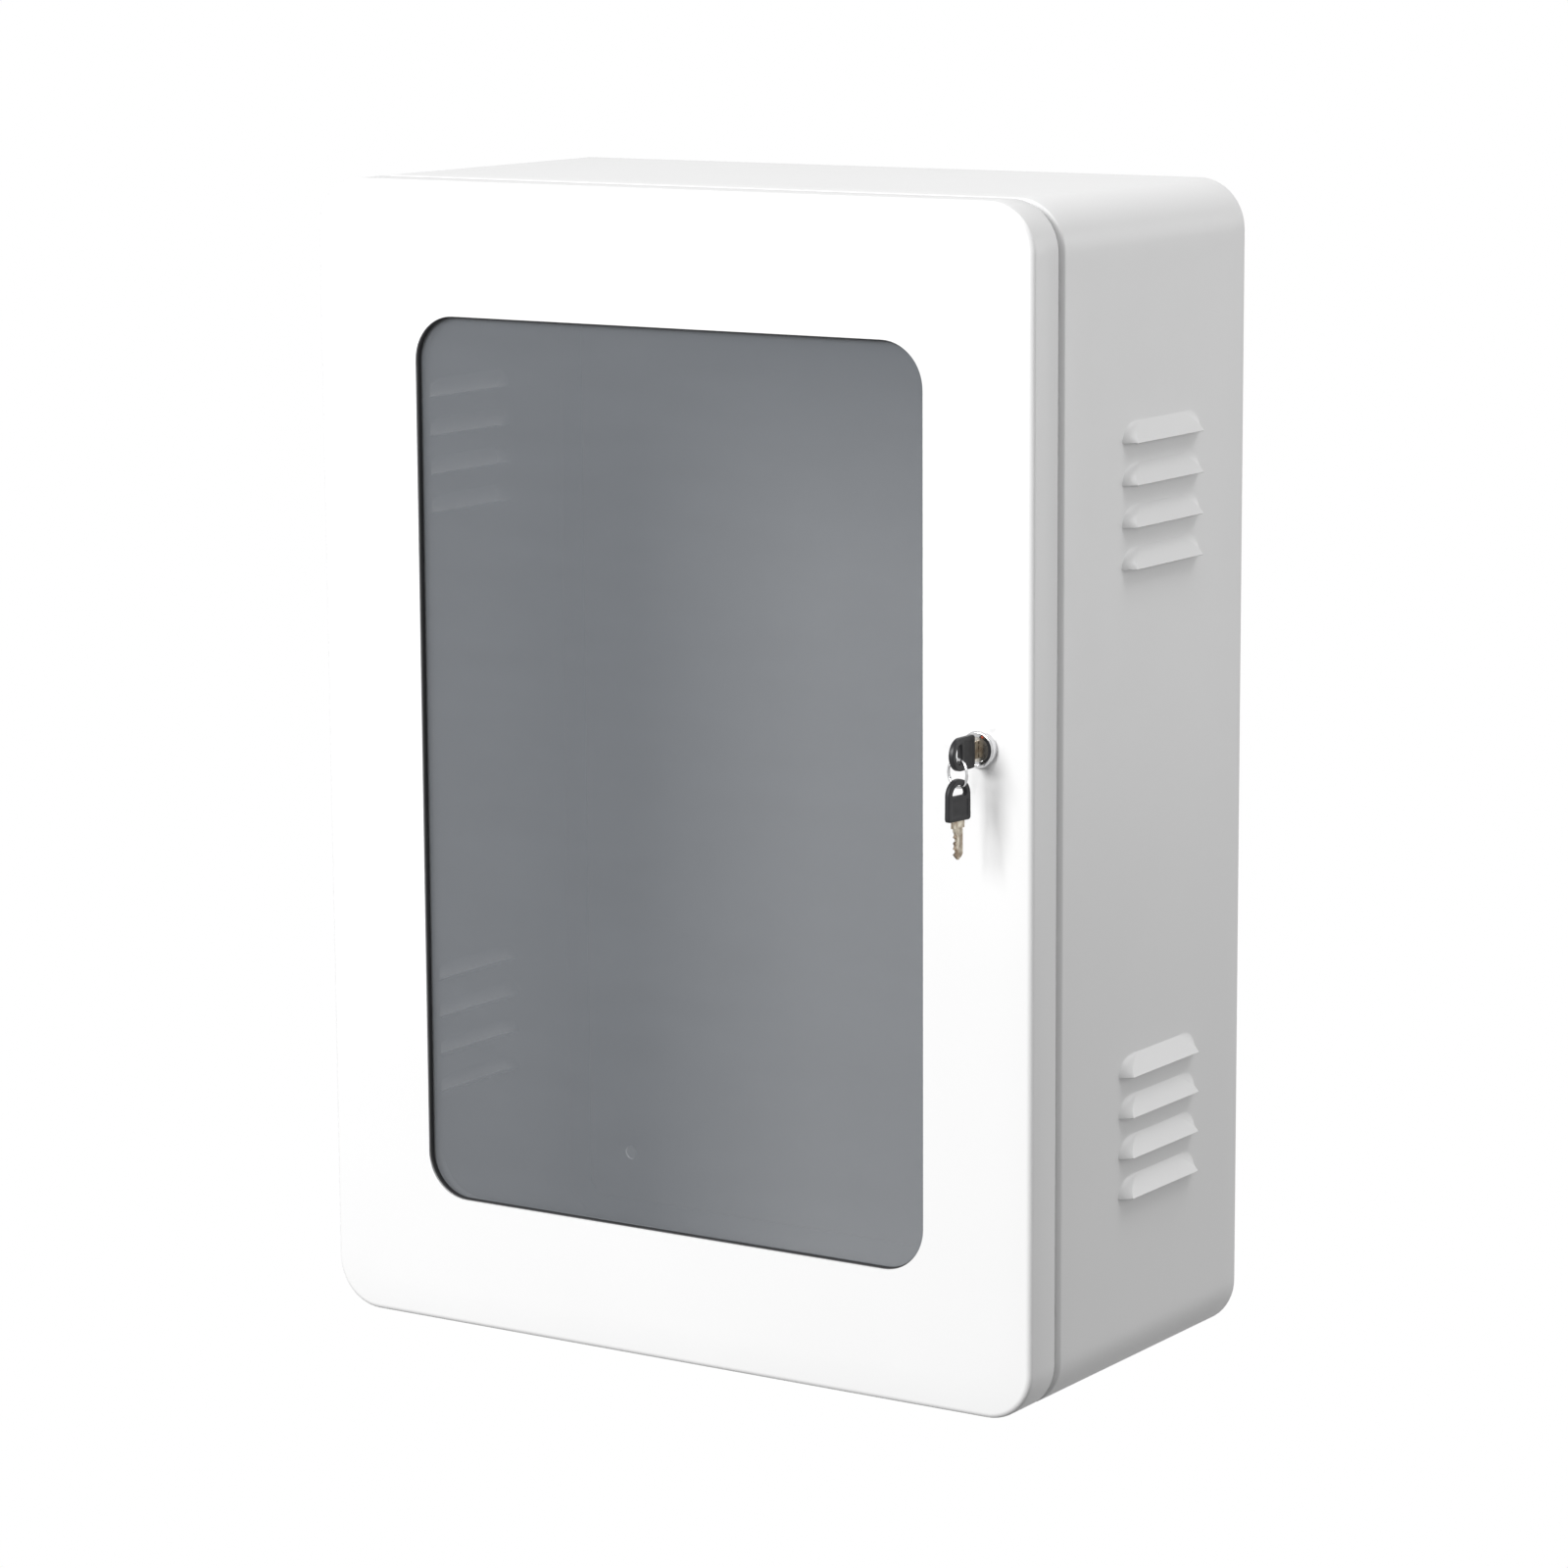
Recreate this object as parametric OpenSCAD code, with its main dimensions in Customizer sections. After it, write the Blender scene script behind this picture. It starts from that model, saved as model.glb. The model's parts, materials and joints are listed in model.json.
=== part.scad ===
// Wall cabinet with a glazed, locking door and louvred sides.
// X runs to the right, Y to the back and Z up. The origin is the centre of the wall fixing holes
// on the rear face of the back panel, so the door faces -Y. Sizes are in millimetres.

/* [Cabinet] */
// Overall width
cabinet_w = 500; // [400:5:700]
// Overall height
cabinet_h = 700; // [560:5:1000]
// Overall depth, from the wall to the front of the door
cabinet_d = 250; // [200:5:400]
// Outside radius of the four long corners
corner_r = 30; // [24:1:40]
// Sheet thickness of the wrap, the front frame and the door
sheet_t = 1.2; // [1:0.1:1.5]
// Outside radius of the folded edges
bend_r = 3.5; // [3:0.1:5]
// Width of the lip that the wrap folds in at the front
front_lip_w = 12; // [9:0.5:14]
// Width of the lip that the wrap folds in at the back
rear_lip_w = 18; // [14:1:22]
// Thickness of the back panel
back_t = 1.5; // [1:0.1:3]
// Distance from the cabinet's outline to the back panel's edge
back_inset = 6; // [5:0.5:8]
// Width of the front frame, from the cabinet's outside to the door opening
frame_w = 28; // [26:1:29]
// Depth of the fold round the door opening
frame_fold_d = 26; // [24:1:40]
// Radius of the door opening's corners
opening_r = 10; // [6:1:16]

/* [Wall fixing] */
// Distance from the sides, the top and the bottom to the fixing holes
fixing_inset = 50; // [30:1:90]
// Radius of the fixing holes
fixing_hole_r = 4.5; // [3:0.5:6]

/* [Louvres] */
// Length of one louvre
louvre_l = 92; // [60:1:110]
// Height of the hood above its open lip
louvre_rise = 12; // [9:0.5:14]
// How far the lip stands out from the side
louvre_proud = 6.5; // [4:0.5:8]
// Distance between one louvre and the next
louvre_pitch = 24.3; // [21:0.1:30]
// Louvres in each of a side's two groups
louvre_count = 4; // [2:1:5]
// Distance from the top of the cabinet to the upper group's highest lip
upper_lip_drop = 143; // [100:1:180]
// Distance from the bottom of the cabinet to the lower group's lowest lip
lower_lip_rise = 112; // [60:1:130]
// Distance from the wall to the middle of the louvres
louvre_from_wall = 103; // [80:1:110]

/* [Door] */
// Depth of the door pan
door_d = 30; // [28:0.5:34]
// Gap between the door and the cabinet
door_gap = 2.5; // [2.2:0.1:4]
// Width of the flange that the door folds in at the back
return_w = 14; // [12:0.5:14]
// Radius of the rubber door buffers
buffer_r = 4; // [3:0.5:4.5]
// Distance from the top and bottom of the door to the side buffers
buffer_inset = 60; // [50:1:90]

/* [Window] */
// Distance from the door's sides to the window opening
window_side = 72; // [70:1:110]
// Distance from the top of the door to the window opening
window_top = 80; // [60:1:120]
// Distance from the bottom of the door to the window opening
window_bottom = 79; // [60:1:120]
// Corner radius of the window opening
window_r = 27.5; // [15:0.5:40]
// Thickness of the gasket between the door sheet and the pane
gasket_t = 3.5; // [2:0.1:5]
// How far the gasket shows inside the window opening
gasket_show = 0.8; // [0.4:0.1:1.5]
// Thickness of the pane
pane_t = 4; // [3:0.5:5]
// How far the pane runs behind the door sheet
pane_cover = 12; // [10:0.5:14]
// Depth of the retainer's fold behind the pane
retainer_fold_d = 9; // [6:0.5:10]
// Radius of the welded studs
stud_r = 2; // [1.5:0.1:2.5]

/* [Hinges] */
// Distance from the top and bottom of the cabinet to the hinges
hinge_inset = 120; // [90:1:160]
// Distance from the cabinet's left side to the hinge pins
pivot_inset = 9; // [8.5:0.1:9.5]
// Distance from the front of the door to the hinge pins
pivot_setback = 15; // [14.5:0.1:15.5]
// Radius of the hinge pins
pin_r = 2.5; // [2:0.1:2.8]
// Length of the hinge knuckle and height of its arm
knuckle_l = 16; // [12:1:30]
// Thickness of the hinge arm
arm_t = 2.5; // [2:0.1:3]
// Thickness of the door bracket's ears and base
bracket_t = 2.2; // [2:0.1:3]

/* [Lock] */
// Distance from the cabinet's right side to the lock
lock_inset = 33.5; // [32:0.5:34]
// Height of the lock above the middle of the cabinet
lock_z = 42; // [-100:1:100]
// Radius of the lock's bezel
bezel_r = 10.7; // [10.4:0.1:12]
// How far the bezel stands out from the door
bezel_h = 4.5; // [3:0.1:6]
// Radius of the lock's barrel
barrel_r = 9; // [8.5:0.1:9.5]
// Length of the barrel behind the door's front
barrel_l = 27; // [26:0.5:28]
// Radius of the plug that the key turns
plug_r = 6; // [5.5:0.1:6.5]
// How far the locked cam reaches behind the front frame
cam_catch = 4.5; // [4:0.5:5]
// Thickness of the cam
cam_t = 2; // [1.5:0.1:2.5]
// Width of the cam
cam_w = 10; // [9:0.5:10]

/* [Keys] */
// Length of the key's plastic head
head_l = 24; // [20:0.5:30]
// Width of the key's head
head_w = 19; // [18:0.5:24]
// Thickness of the key's head
head_t = 3.6; // [3:0.1:4]
// Radius of the half-round hole in the head
bow_hole_r = 6; // [5.6:0.1:7]
// Length of the blade's shoulder, outside the lock
shoulder_l = 4; // [3:0.5:8]
// Width of the blade's shoulder
shoulder_w = 10; // [9:0.5:12]
// Length of the blade past its shoulder
blade_l = 18; // [15:0.5:20]
// Width of the blade
blade_w = 7; // [6:0.1:9]
// Thickness of the blade
blade_t = 2; // [1.6:0.1:2.4]
// Radius of the split ring, to the middle of its wire
ring_r = 8; // [7.5:0.1:14]
// Radius of the split ring's wire
ring_wire_r = 0.75; // [0.6:0.05:0.9]
// Turn of the split ring about the vertical, from square to the key
ring_turn = -19; // [-25:1:0]
// Turn of the spare key about the vertical, from in line with the key
spare_turn = -10; // [-30:1:0]

/* [Hidden] */
$fn = 48;

// Clearances
bore_clear = 0.05;    // a shaft in its bore
part_clear = 0.3;     // two pieces that pass each other
stud_clear = 0.3;     // a stud or screw in a sheet hole
key_clear = 0.1;      // the blade in its keyway
weld_clear = 0.1;     // a strip welded in beside its neighbours
reach = 1;            // how far a cut runs past the face it opens

// Cabinet planes
side_x = cabinet_w / 2;
top_z = cabinet_h / 2;
door_y = -cabinet_d;
door_back_y = door_y + door_d;
front_y = door_back_y + door_gap;
rear_y = -back_t;
frame_y = front_y + sheet_t;
frame_back_y = frame_y + sheet_t;
opening_w = cabinet_w - 2 * frame_w;
opening_h = cabinet_h - 2 * frame_w;
fixing_x = side_x - fixing_inset;
fixing_z = top_z - fixing_inset;

// Louvres: the hood is part of a round-ended capsule whose middle lies inside the wall
hood_r = (pow(louvre_rise, 2) + pow(louvre_proud, 2)) / (2 * louvre_proud);
hood_x = side_x + louvre_proud - hood_r;
hood_straight = louvre_l - 2 * louvre_rise;
louvre_lips = [for (i = [0:louvre_count - 1]) each [
    top_z - upper_lip_drop - i * louvre_pitch,
    -top_z + lower_lip_rise + i * louvre_pitch]];

// Door and window
window_w = cabinet_w - 2 * window_side;
window_h = cabinet_h - window_top - window_bottom;
window_z = (window_bottom - window_top) / 2;
sheet_back_y = door_y + sheet_t;
pane_y = sheet_back_y + gasket_t;
pane_back_y = pane_y + pane_t;
retainer_inner = 3;                          // inner edge, outside the window opening
retainer_step = pane_cover + 0.8;            // where the retainer steps down to the sheet
retainer_outer = retainer_step + 10;
retainer_stud = (retainer_step + sheet_t + retainer_outer) / 2;
stud_nut_r = 3.6;
stud_nut_h = 3;
retainer_stud_h = sheet_t + stud_nut_h + 2;
retainer_studs = concat(
    [for (s = [-1, 1], k = [-1, 0, 1])
        [s * (window_w / 2 + retainer_stud), window_z + k * window_h * 0.38]],
    [for (s = [-1, 1], k = [-1, 1])
        [k * window_w * 0.3, window_z + s * (window_h / 2 + retainer_stud)]]);
buffer_t = door_gap - part_clear;
buffer_places = concat(
    [for (s = [-1, 1]) [side_x - return_w / 2, s * (top_z - buffer_inset)]],
    [for (s = [-1, 1]) [-side_x + buffer_inset, s * (top_z - return_w / 2)]]);

// Hinges
pivot_x = -side_x + pivot_inset;
pivot_y = door_y + pivot_setback;
hinge_z = top_z - hinge_inset;
knuckle_r = pin_r + 2.5;
arm_x = -side_x + frame_w;                   // face of the fold that the arm is screwed to
arm_end_y = frame_y + frame_fold_d - 3;
arm_screw_r = 2;
arm_screw_places = [for (k = [-1, 1]) k * knuckle_l * 0.28];
arm_screw_y = arm_end_y - 8;
ear_z = knuckle_l / 2 + part_clear;
ear_r = knuckle_r + 0.5;
bracket_l = 32;
bracket_x = pivot_x - ear_r;
bracket_h = 2 * (ear_z + bracket_t);
bracket_stud_x = bracket_x + bracket_l - 8;
bracket_studs = [for (k = [-1, 1]) k * knuckle_l * 0.33];
bracket_stud_h = bracket_t + stud_nut_h + 1.5;
pin_head_h = 1.5;
notch_h = bracket_h + 8;                     // notch in the door's return flange at a hinge

// Lock
lock_x = side_x - lock_inset;
barrel_flat = barrel_r - 1;
plug_head_r = plug_r + 1;
plug_head_h = 1.5;
plug_front_y = door_y - bezel_h + 0.4;
barrel_end_y = door_y + barrel_l;
plug_end_y = barrel_end_y + 0.1;
stub_r = 4.6;
stub_flat = 3.4;
keyway_w = blade_t + 2 * key_clear;
keyway_h = blade_w + 2 * key_clear;
keyway_l = blade_l + 1;
wafer_t = 1.2;
wafer_w = 5.6;
wafer_r = plug_r - 0.1;
wafer_places = [for (i = [0:4]) door_y - bezel_h + 5 + 2.6 * i];
nut_flats = 24;
nut_h = 5;
washer_t = 1;
cam_tip_y = frame_back_y + part_clear;
cam_base_r = 9;
cam_bend = 12;                               // outer face of the cam's crank, from the lock's axis
strike_w = front_lip_w + 7.5;                // strip of frame that the cam's tip catches
cam_reach = lock_inset - strike_w + cam_catch;
strike_notch_h = 2 * (cam_reach + 5);
cam_screw_r = 2;
cam_screw_l = 7;
bezel_edge = 1.4;
dot_r = 0.8;
dot_t = 0.3;
dot_place = (plug_head_r + bezel_r - bezel_edge) / 2;
dot_turn = 25;

// Keys: a key lies along Y with its blade towards +Y and the shoulder's stop at y = 0
key_y = door_y - bezel_h - part_clear;
bow_y = -shoulder_l - head_l + head_w / 2;   // middle of the head's round end
tang_l = 9;
tang_w = 7;
ring_hang_y = key_y + bow_y - 1.9;
ring_hang_z = lock_z - 2.5;
ring_low_z = ring_hang_z - 2 * ring_r;
spare_hang = bow_hole_r - ring_wire_r - 2 * part_clear;   // ring's wire above the bow's middle

// ---- Shared shapes ----

// A rounded rectangle
module rounded_rect(w, h, r) {
    square([w - 2 * r, h], center = true);
    square([w, h - 2 * r], center = true);
    for (x = [-1, 1], y = [-1, 1]) translate([x * (w / 2 - r), y * (h / 2 - r)]) circle(r);
}

// Stands a flat outline up in the XZ plane, between two places along Y
module standing(y0, y1) {
    translate([0, y1, 0]) rotate([90, 0, 0]) linear_extrude(y1 - y0) children();
}

// A cylinder along Y, between two places
module along_y(y0, y1, r, r_end = undef) {
    translate([0, y0, 0]) rotate([-90, 0, 0])
        cylinder(h = y1 - y0, r1 = r, r2 = is_undef(r_end) ? r : r_end);
}

// A cylinder along X, between two places
module along_x(x0, x1, r) {
    translate([x0, 0, 0]) rotate([0, 90, 0]) cylinder(h = x1 - x0, r = r);
}

// Carries a section round a rounded rectangle that stands in the XZ plane.
// In the section, x is the distance outside the outline and y is the place along Y.
module sweep_round(w, h, r) {
    for (turn = [0:3]) {
        across = turn % 2 == 0 ? w / 2 : h / 2;
        along = turn % 2 == 0 ? h / 2 - r : w / 2 - r;
        rotate([0, 90 * turn, 0]) {
            translate([across, 0, -along]) linear_extrude(2 * along) children();
            translate([across - r, 0, -along]) rotate([-90, 0, 0])
                rotate_extrude(angle = 90) translate([r, 0]) children();
        }
    }
}

// Section of one folded edge: a quarter bend whose outer corner is at the origin, with the sheet
// running on towards -x. dir is 1 where the wall runs towards +y and -1 where it runs back.
module bend_section(dir) {
    translate([-bend_r, dir * bend_r]) intersection() {
        difference() {
            circle(bend_r);
            circle(bend_r - sheet_t);
        }
        translate([0, dir > 0 ? -bend_r : 0]) square(bend_r);
    }
}

// Section of a sheet folded into a channel that is open towards the inside
module channel_section(y0, y1, lip0, lip1) {
    translate([-sheet_t, y0 + bend_r]) square([sheet_t, y1 - y0 - 2 * bend_r]);
    translate([0, y0]) bend_section(1);
    translate([0, y1]) bend_section(-1);
    translate([-lip0, y0]) square([lip0 - bend_r, sheet_t]);
    translate([-lip1, y1 - sheet_t]) square([lip1 - bend_r, sheet_t]);
}

// A capsule along Y
module capsule(r) {
    rotate([90, 0, 0]) cylinder(h = hood_straight, r = r, center = true);
    for (s = [-1, 1]) translate([0, s * hood_straight / 2, 0]) sphere(r);
}

// The part of a capsule that lies outside a plane and above its own middle
module half_capsule(r, from_x, from_z) {
    intersection() {
        capsule(r);
        translate([from_x, -louvre_l, from_z]) cube([2 * hood_r, 2 * louvre_l, 2 * hood_r]);
    }
}

module at_louvres() {
    for (s = [-1, 1], z = louvre_lips)
        translate([0, -louvre_from_wall, z]) mirror([s < 0 ? 1 : 0, 0, 0])
            translate([hood_x, 0, 0]) children();
}

module at_hinge(side) { translate([pivot_x, pivot_y, side * hinge_z]) children(); }

module at_lock() { translate([lock_x, 0, lock_z]) children(); }

module at_retainer_studs() {
    for (p = retainer_studs) translate([p[0], 0, p[1]]) children();
}

module at_bracket_studs() {
    for (side = [-1, 1], k = bracket_studs)
        translate([bracket_stud_x, 0, side * hinge_z + k]) children();
}

// Outline of a round bar with two flats that face along X
module flatted(r, flat) {
    intersection() {
        circle(r);
        square([2 * flat, 4 * r], center = true);
    }
}

// ---- Cabinet ----

module body_wrap() {
    color("white") difference() {
        union() {
            sweep_round(cabinet_w, cabinet_h, corner_r)
                channel_section(front_y, rear_y, front_lip_w, rear_lip_w);
            at_louvres() half_capsule(hood_r, side_x - hood_x - sheet_t / 2, 0);
        }
        at_louvres() half_capsule(hood_r - sheet_t, side_x - hood_x - 2 * sheet_t, -0.2);
    }
}

module back_panel() {
    color("white") standing(rear_y, 0) difference() {
        rounded_rect(cabinet_w - 2 * back_inset, cabinet_h - 2 * back_inset,
                     corner_r - back_inset);
        for (x = [-1, 1], z = [-1, 1]) translate([x * fixing_x, z * fixing_z])
            circle(fixing_hole_r);
    }
}

module strike_notch(width) {
    translate([opening_w / 2 - reach, frame_y - reach, lock_z - strike_notch_h / 2])
        cube([width + reach, frame_fold_d + 2 * reach, strike_notch_h]);
}

// The plate is open at the lock, where a separate strip is welded in for the cam to catch.
module front_frame() {
    color("white") difference() {
        standing(frame_y, frame_back_y) difference() {
            rounded_rect(cabinet_w - 2 * bend_r, cabinet_h - 2 * bend_r, corner_r - bend_r);
            rounded_rect(opening_w, opening_h, opening_r);
        }
        strike_notch(frame_w + reach);
    }
    color("white") translate([side_x - strike_w, frame_y, lock_z - strike_notch_h / 2 + weld_clear])
        cube([strike_w - bend_r, sheet_t, strike_notch_h - 2 * weld_clear]);
}

module frame_fold() {
    color("white") difference() {
        standing(frame_back_y, frame_y + frame_fold_d) difference() {
            rounded_rect(opening_w + 2 * sheet_t, opening_h + 2 * sheet_t, opening_r + sheet_t);
            rounded_rect(opening_w, opening_h, opening_r);
        }
        strike_notch(2 * sheet_t);
        for (side = [-1, 1], k = arm_screw_places)
            translate([0, arm_screw_y, side * hinge_z + k])
                along_x(arm_x - sheet_t - reach, arm_x + reach, arm_screw_r + bore_clear);
    }
}

// ---- Hinges ----

module hinge_arm(side) {
    reach_x = arm_x - pivot_x;
    color("silver") at_hinge(side) difference() {
        union() {
            translate([0, 0, -knuckle_l / 2]) cylinder(h = knuckle_l, r = knuckle_r);
            translate([0, -arm_t / 2, -knuckle_l / 2]) cube([reach_x + arm_t, arm_t, knuckle_l]);
            translate([reach_x, -arm_t / 2, -knuckle_l / 2])
                cube([arm_t, arm_end_y - pivot_y + arm_t / 2, knuckle_l]);
        }
        translate([0, 0, -knuckle_l / 2 - reach])
            cylinder(h = knuckle_l + 2 * reach, r = pin_r + bore_clear);
        for (k = arm_screw_places) translate([0, arm_screw_y - pivot_y, k])
            along_x(reach_x - reach, reach_x + arm_t + reach, arm_screw_r + stud_clear);
    }
}

module upper_hinge_arm() { hinge_arm(1); }

module lower_hinge_arm() { hinge_arm(-1); }

module hinge_arm_screws() {
    head_h = 2;
    color("silver") for (side = [-1, 1], k = arm_screw_places)
        translate([arm_x, arm_screw_y, side * hinge_z + k]) {
            along_x(-sheet_t - 3, arm_t, arm_screw_r);
            along_x(arm_t, arm_t + head_h, arm_screw_r + 1.8);
        }
}

module door_bracket(side) {
    base_y = sheet_back_y - pivot_y;
    color("silver") difference() {
        at_hinge(side) {
            translate([bracket_x - pivot_x, base_y, -bracket_h / 2])
                cube([bracket_l, bracket_t, bracket_h]);
            for (z = [-ear_z - bracket_t, ear_z]) translate([0, 0, z]) difference() {
                union() {
                    cylinder(h = bracket_t, r = ear_r);
                    translate([-ear_r, base_y, 0]) cube([2 * ear_r, -base_y, bracket_t]);
                }
                translate([0, 0, -reach]) cylinder(h = bracket_t + 2 * reach, r = pin_r);
            }
        }
        at_bracket_studs()
            along_y(sheet_back_y - reach, sheet_back_y + bracket_t + reach, stud_r + stud_clear);
    }
}

module upper_door_bracket() { door_bracket(1); }

module lower_door_bracket() { door_bracket(-1); }

module hinge_pin(side) {
    low = -ear_z - bracket_t - 1;
    high = ear_z + bracket_t;
    color("gray") at_hinge(side) {
        translate([0, 0, low]) cylinder(h = high - low, r = pin_r);
        translate([0, 0, high]) cylinder(h = pin_head_h, r = pin_r + 1.5);
    }
}

module upper_hinge_pin() { hinge_pin(1); }

module lower_hinge_pin() { hinge_pin(-1); }

// A hexagon nut on a welded stud, sitting on the face at y = 0
module stud_nut() {
    difference() {
        rotate([-90, 0, 0]) cylinder(h = stud_nut_h, r = stud_nut_r, $fn = 6);
        along_y(-reach, stud_nut_h + reach, stud_r + bore_clear);
    }
}

module bracket_nuts() {
    color("silver") at_bracket_studs() translate([0, sheet_back_y + bracket_t, 0]) stud_nut();
}

// ---- Door ----

module door_skin() {
    rim = bend_r + 2;
    color("white") difference() {
        union() {
            sweep_round(cabinet_w, cabinet_h, corner_r)
                channel_section(door_y, door_back_y, rim, return_w);
            standing(door_y, sheet_back_y) difference() {
                rounded_rect(cabinet_w - 2 * rim, cabinet_h - 2 * rim, corner_r - rim);
                translate([0, window_z]) rounded_rect(window_w, window_h, window_r);
                translate([lock_x, lock_z])
                    flatted(barrel_r + bore_clear, barrel_flat + bore_clear);
            }
        }
        for (side = [-1, 1])
            translate([-side_x + bend_r, door_back_y - sheet_t - reach,
                       side * hinge_z - notch_h / 2])
                cube([return_w, sheet_t + 2 * reach, notch_h]);
    }
}

module door_weld_studs() {
    color("silver") {
        at_retainer_studs() along_y(sheet_back_y, sheet_back_y + retainer_stud_h, stud_r);
        at_bracket_studs() along_y(sheet_back_y, sheet_back_y + bracket_stud_h, stud_r);
    }
}

module window_gasket() {
    color("black") translate([0, 0, window_z]) sweep_round(window_w, window_h, window_r)
        translate([-gasket_show, sheet_back_y]) square([pane_cover + gasket_show, gasket_t]);
}

module window_pane() {
    color([0.45, 0.48, 0.5, 0.6]) standing(pane_y, pane_back_y) translate([0, window_z])
        rounded_rect(window_w + 2 * pane_cover, window_h + 2 * pane_cover,
                     window_r + pane_cover);
}

module window_retainer() {
    color("white") difference() {
        translate([0, 0, window_z]) sweep_round(window_w, window_h, window_r) {
            translate([retainer_inner, pane_back_y])
                square([retainer_step + sheet_t - retainer_inner, sheet_t]);
            translate([retainer_inner, pane_back_y]) square([sheet_t, retainer_fold_d]);
            translate([retainer_step, sheet_back_y])
                square([sheet_t, pane_back_y + sheet_t - sheet_back_y]);
            translate([retainer_step, sheet_back_y])
                square([retainer_outer - retainer_step, sheet_t]);
        }
        at_retainer_studs()
            along_y(sheet_back_y - reach, sheet_back_y + sheet_t + reach, stud_r + stud_clear);
    }
}

module retainer_nuts() {
    color("silver") at_retainer_studs() translate([0, sheet_back_y + sheet_t, 0]) stud_nut();
}

module door_buffers() {
    color("black") for (p = buffer_places) translate([p[0], 0, p[1]])
        along_y(door_back_y, door_back_y + buffer_t, buffer_r);
}

// ---- Lock ----

module lock_body() {
    color("silver") at_lock() difference() {
        union() {
            along_y(door_y - bezel_h, door_y - bezel_h + bezel_edge, bezel_r - bezel_edge, bezel_r);
            along_y(door_y - bezel_h + bezel_edge, door_y, bezel_r);
            standing(door_y, barrel_end_y) flatted(barrel_r, barrel_flat);
        }
        along_y(door_y - bezel_h - reach, barrel_end_y + reach, plug_r + bore_clear);
        along_y(door_y - bezel_h - reach, plug_front_y + plug_head_h + bore_clear,
                plug_head_r + bore_clear);
        rotate([0, dot_turn, 0]) translate([0, 0, dot_place])
            along_y(door_y - bezel_h - reach, door_y - bezel_h + dot_t, dot_r);
    }
}

module lock_plug() {
    slot = wafer_t + 2 * key_clear;
    color("gainsboro") at_lock() difference() {
        union() {
            along_y(plug_front_y, plug_front_y + plug_head_h, plug_head_r);
            along_y(plug_front_y, plug_end_y, plug_r);
            standing(plug_end_y, plug_end_y + cam_t) flatted(stub_r, stub_flat);
        }
        translate([-keyway_w / 2, plug_front_y - reach, -keyway_h / 2])
            cube([keyway_w, key_y + keyway_l - plug_front_y + reach, keyway_h]);
        for (y = wafer_places)
            translate([-wafer_w / 2 - key_clear, y - key_clear, -2 * plug_r])
                cube([wafer_w + 2 * key_clear, slot, 4 * plug_r]);
        along_y(plug_end_y + cam_t - cam_screw_l, plug_end_y + cam_t + reach, cam_screw_r);
    }
}

module lock_wafers() {
    color("goldenrod") at_lock() for (y = wafer_places) standing(y, y + wafer_t) difference() {
        intersection() {
            circle(wafer_r);
            square([wafer_w, 4 * plug_r], center = true);
        }
        square([keyway_w, keyway_h], center = true);
    }
}

module lock_washer() {
    color("silver") at_lock() difference() {
        along_y(sheet_back_y, sheet_back_y + washer_t, barrel_r + 3.5);
        along_y(sheet_back_y - reach, sheet_back_y + washer_t + reach, barrel_r + bore_clear);
    }
}

module lock_nut() {
    nut_y = sheet_back_y + washer_t;
    color("silver") at_lock() difference() {
        translate([0, nut_y, 0]) rotate([-90, 30, 0])
            cylinder(h = nut_h, r = nut_flats / 2 / cos(30), $fn = 6);
        along_y(nut_y - reach, nut_y + nut_h + reach, barrel_r + bore_clear);
    }
}

module lock_cam() {
    color("silver") at_lock() difference() {
        union() {
            along_y(plug_end_y, plug_end_y + cam_t, cam_base_r);
            translate([-cam_w / 2, plug_end_y, -cam_bend]) cube([cam_w, cam_t, cam_bend]);
            translate([-cam_w / 2, plug_end_y, -cam_bend])
                cube([cam_w, cam_tip_y + cam_t - plug_end_y, cam_t]);
            translate([-cam_w / 2, cam_tip_y, -cam_reach])
                cube([cam_w, cam_t, cam_reach - cam_bend + cam_t]);
        }
        standing(plug_end_y - reach, plug_end_y + cam_t + reach)
            flatted(stub_r + bore_clear, stub_flat + bore_clear);
    }
}

module cam_washer() {
    washer_y = plug_end_y + cam_t;
    color("silver") at_lock() difference() {
        along_y(washer_y, washer_y + washer_t, cam_screw_r + 4);
        along_y(washer_y - reach, washer_y + washer_t + reach, cam_screw_r + stud_clear);
    }
}

module cam_screw() {
    seat_y = plug_end_y + cam_t + washer_t;
    head_h = 2.4;
    color("silver") at_lock() difference() {
        union() {
            along_y(plug_end_y + cam_t - cam_screw_l, seat_y, cam_screw_r);
            along_y(seat_y, seat_y + head_h, cam_screw_r + 2);
        }
        for (turn = [0, 90]) rotate([0, turn, 0])
            translate([-2.4, seat_y + head_h - 1.2, -0.5]) cube([4.8, 1.2 + reach, 1]);
    }
}

module index_dot() {
    color("firebrick") at_lock() rotate([0, dot_turn, 0]) translate([0, 0, dot_place])
        along_y(door_y - bezel_h, door_y - bezel_h + dot_t, dot_r);
}

// ---- Keys ----

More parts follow.
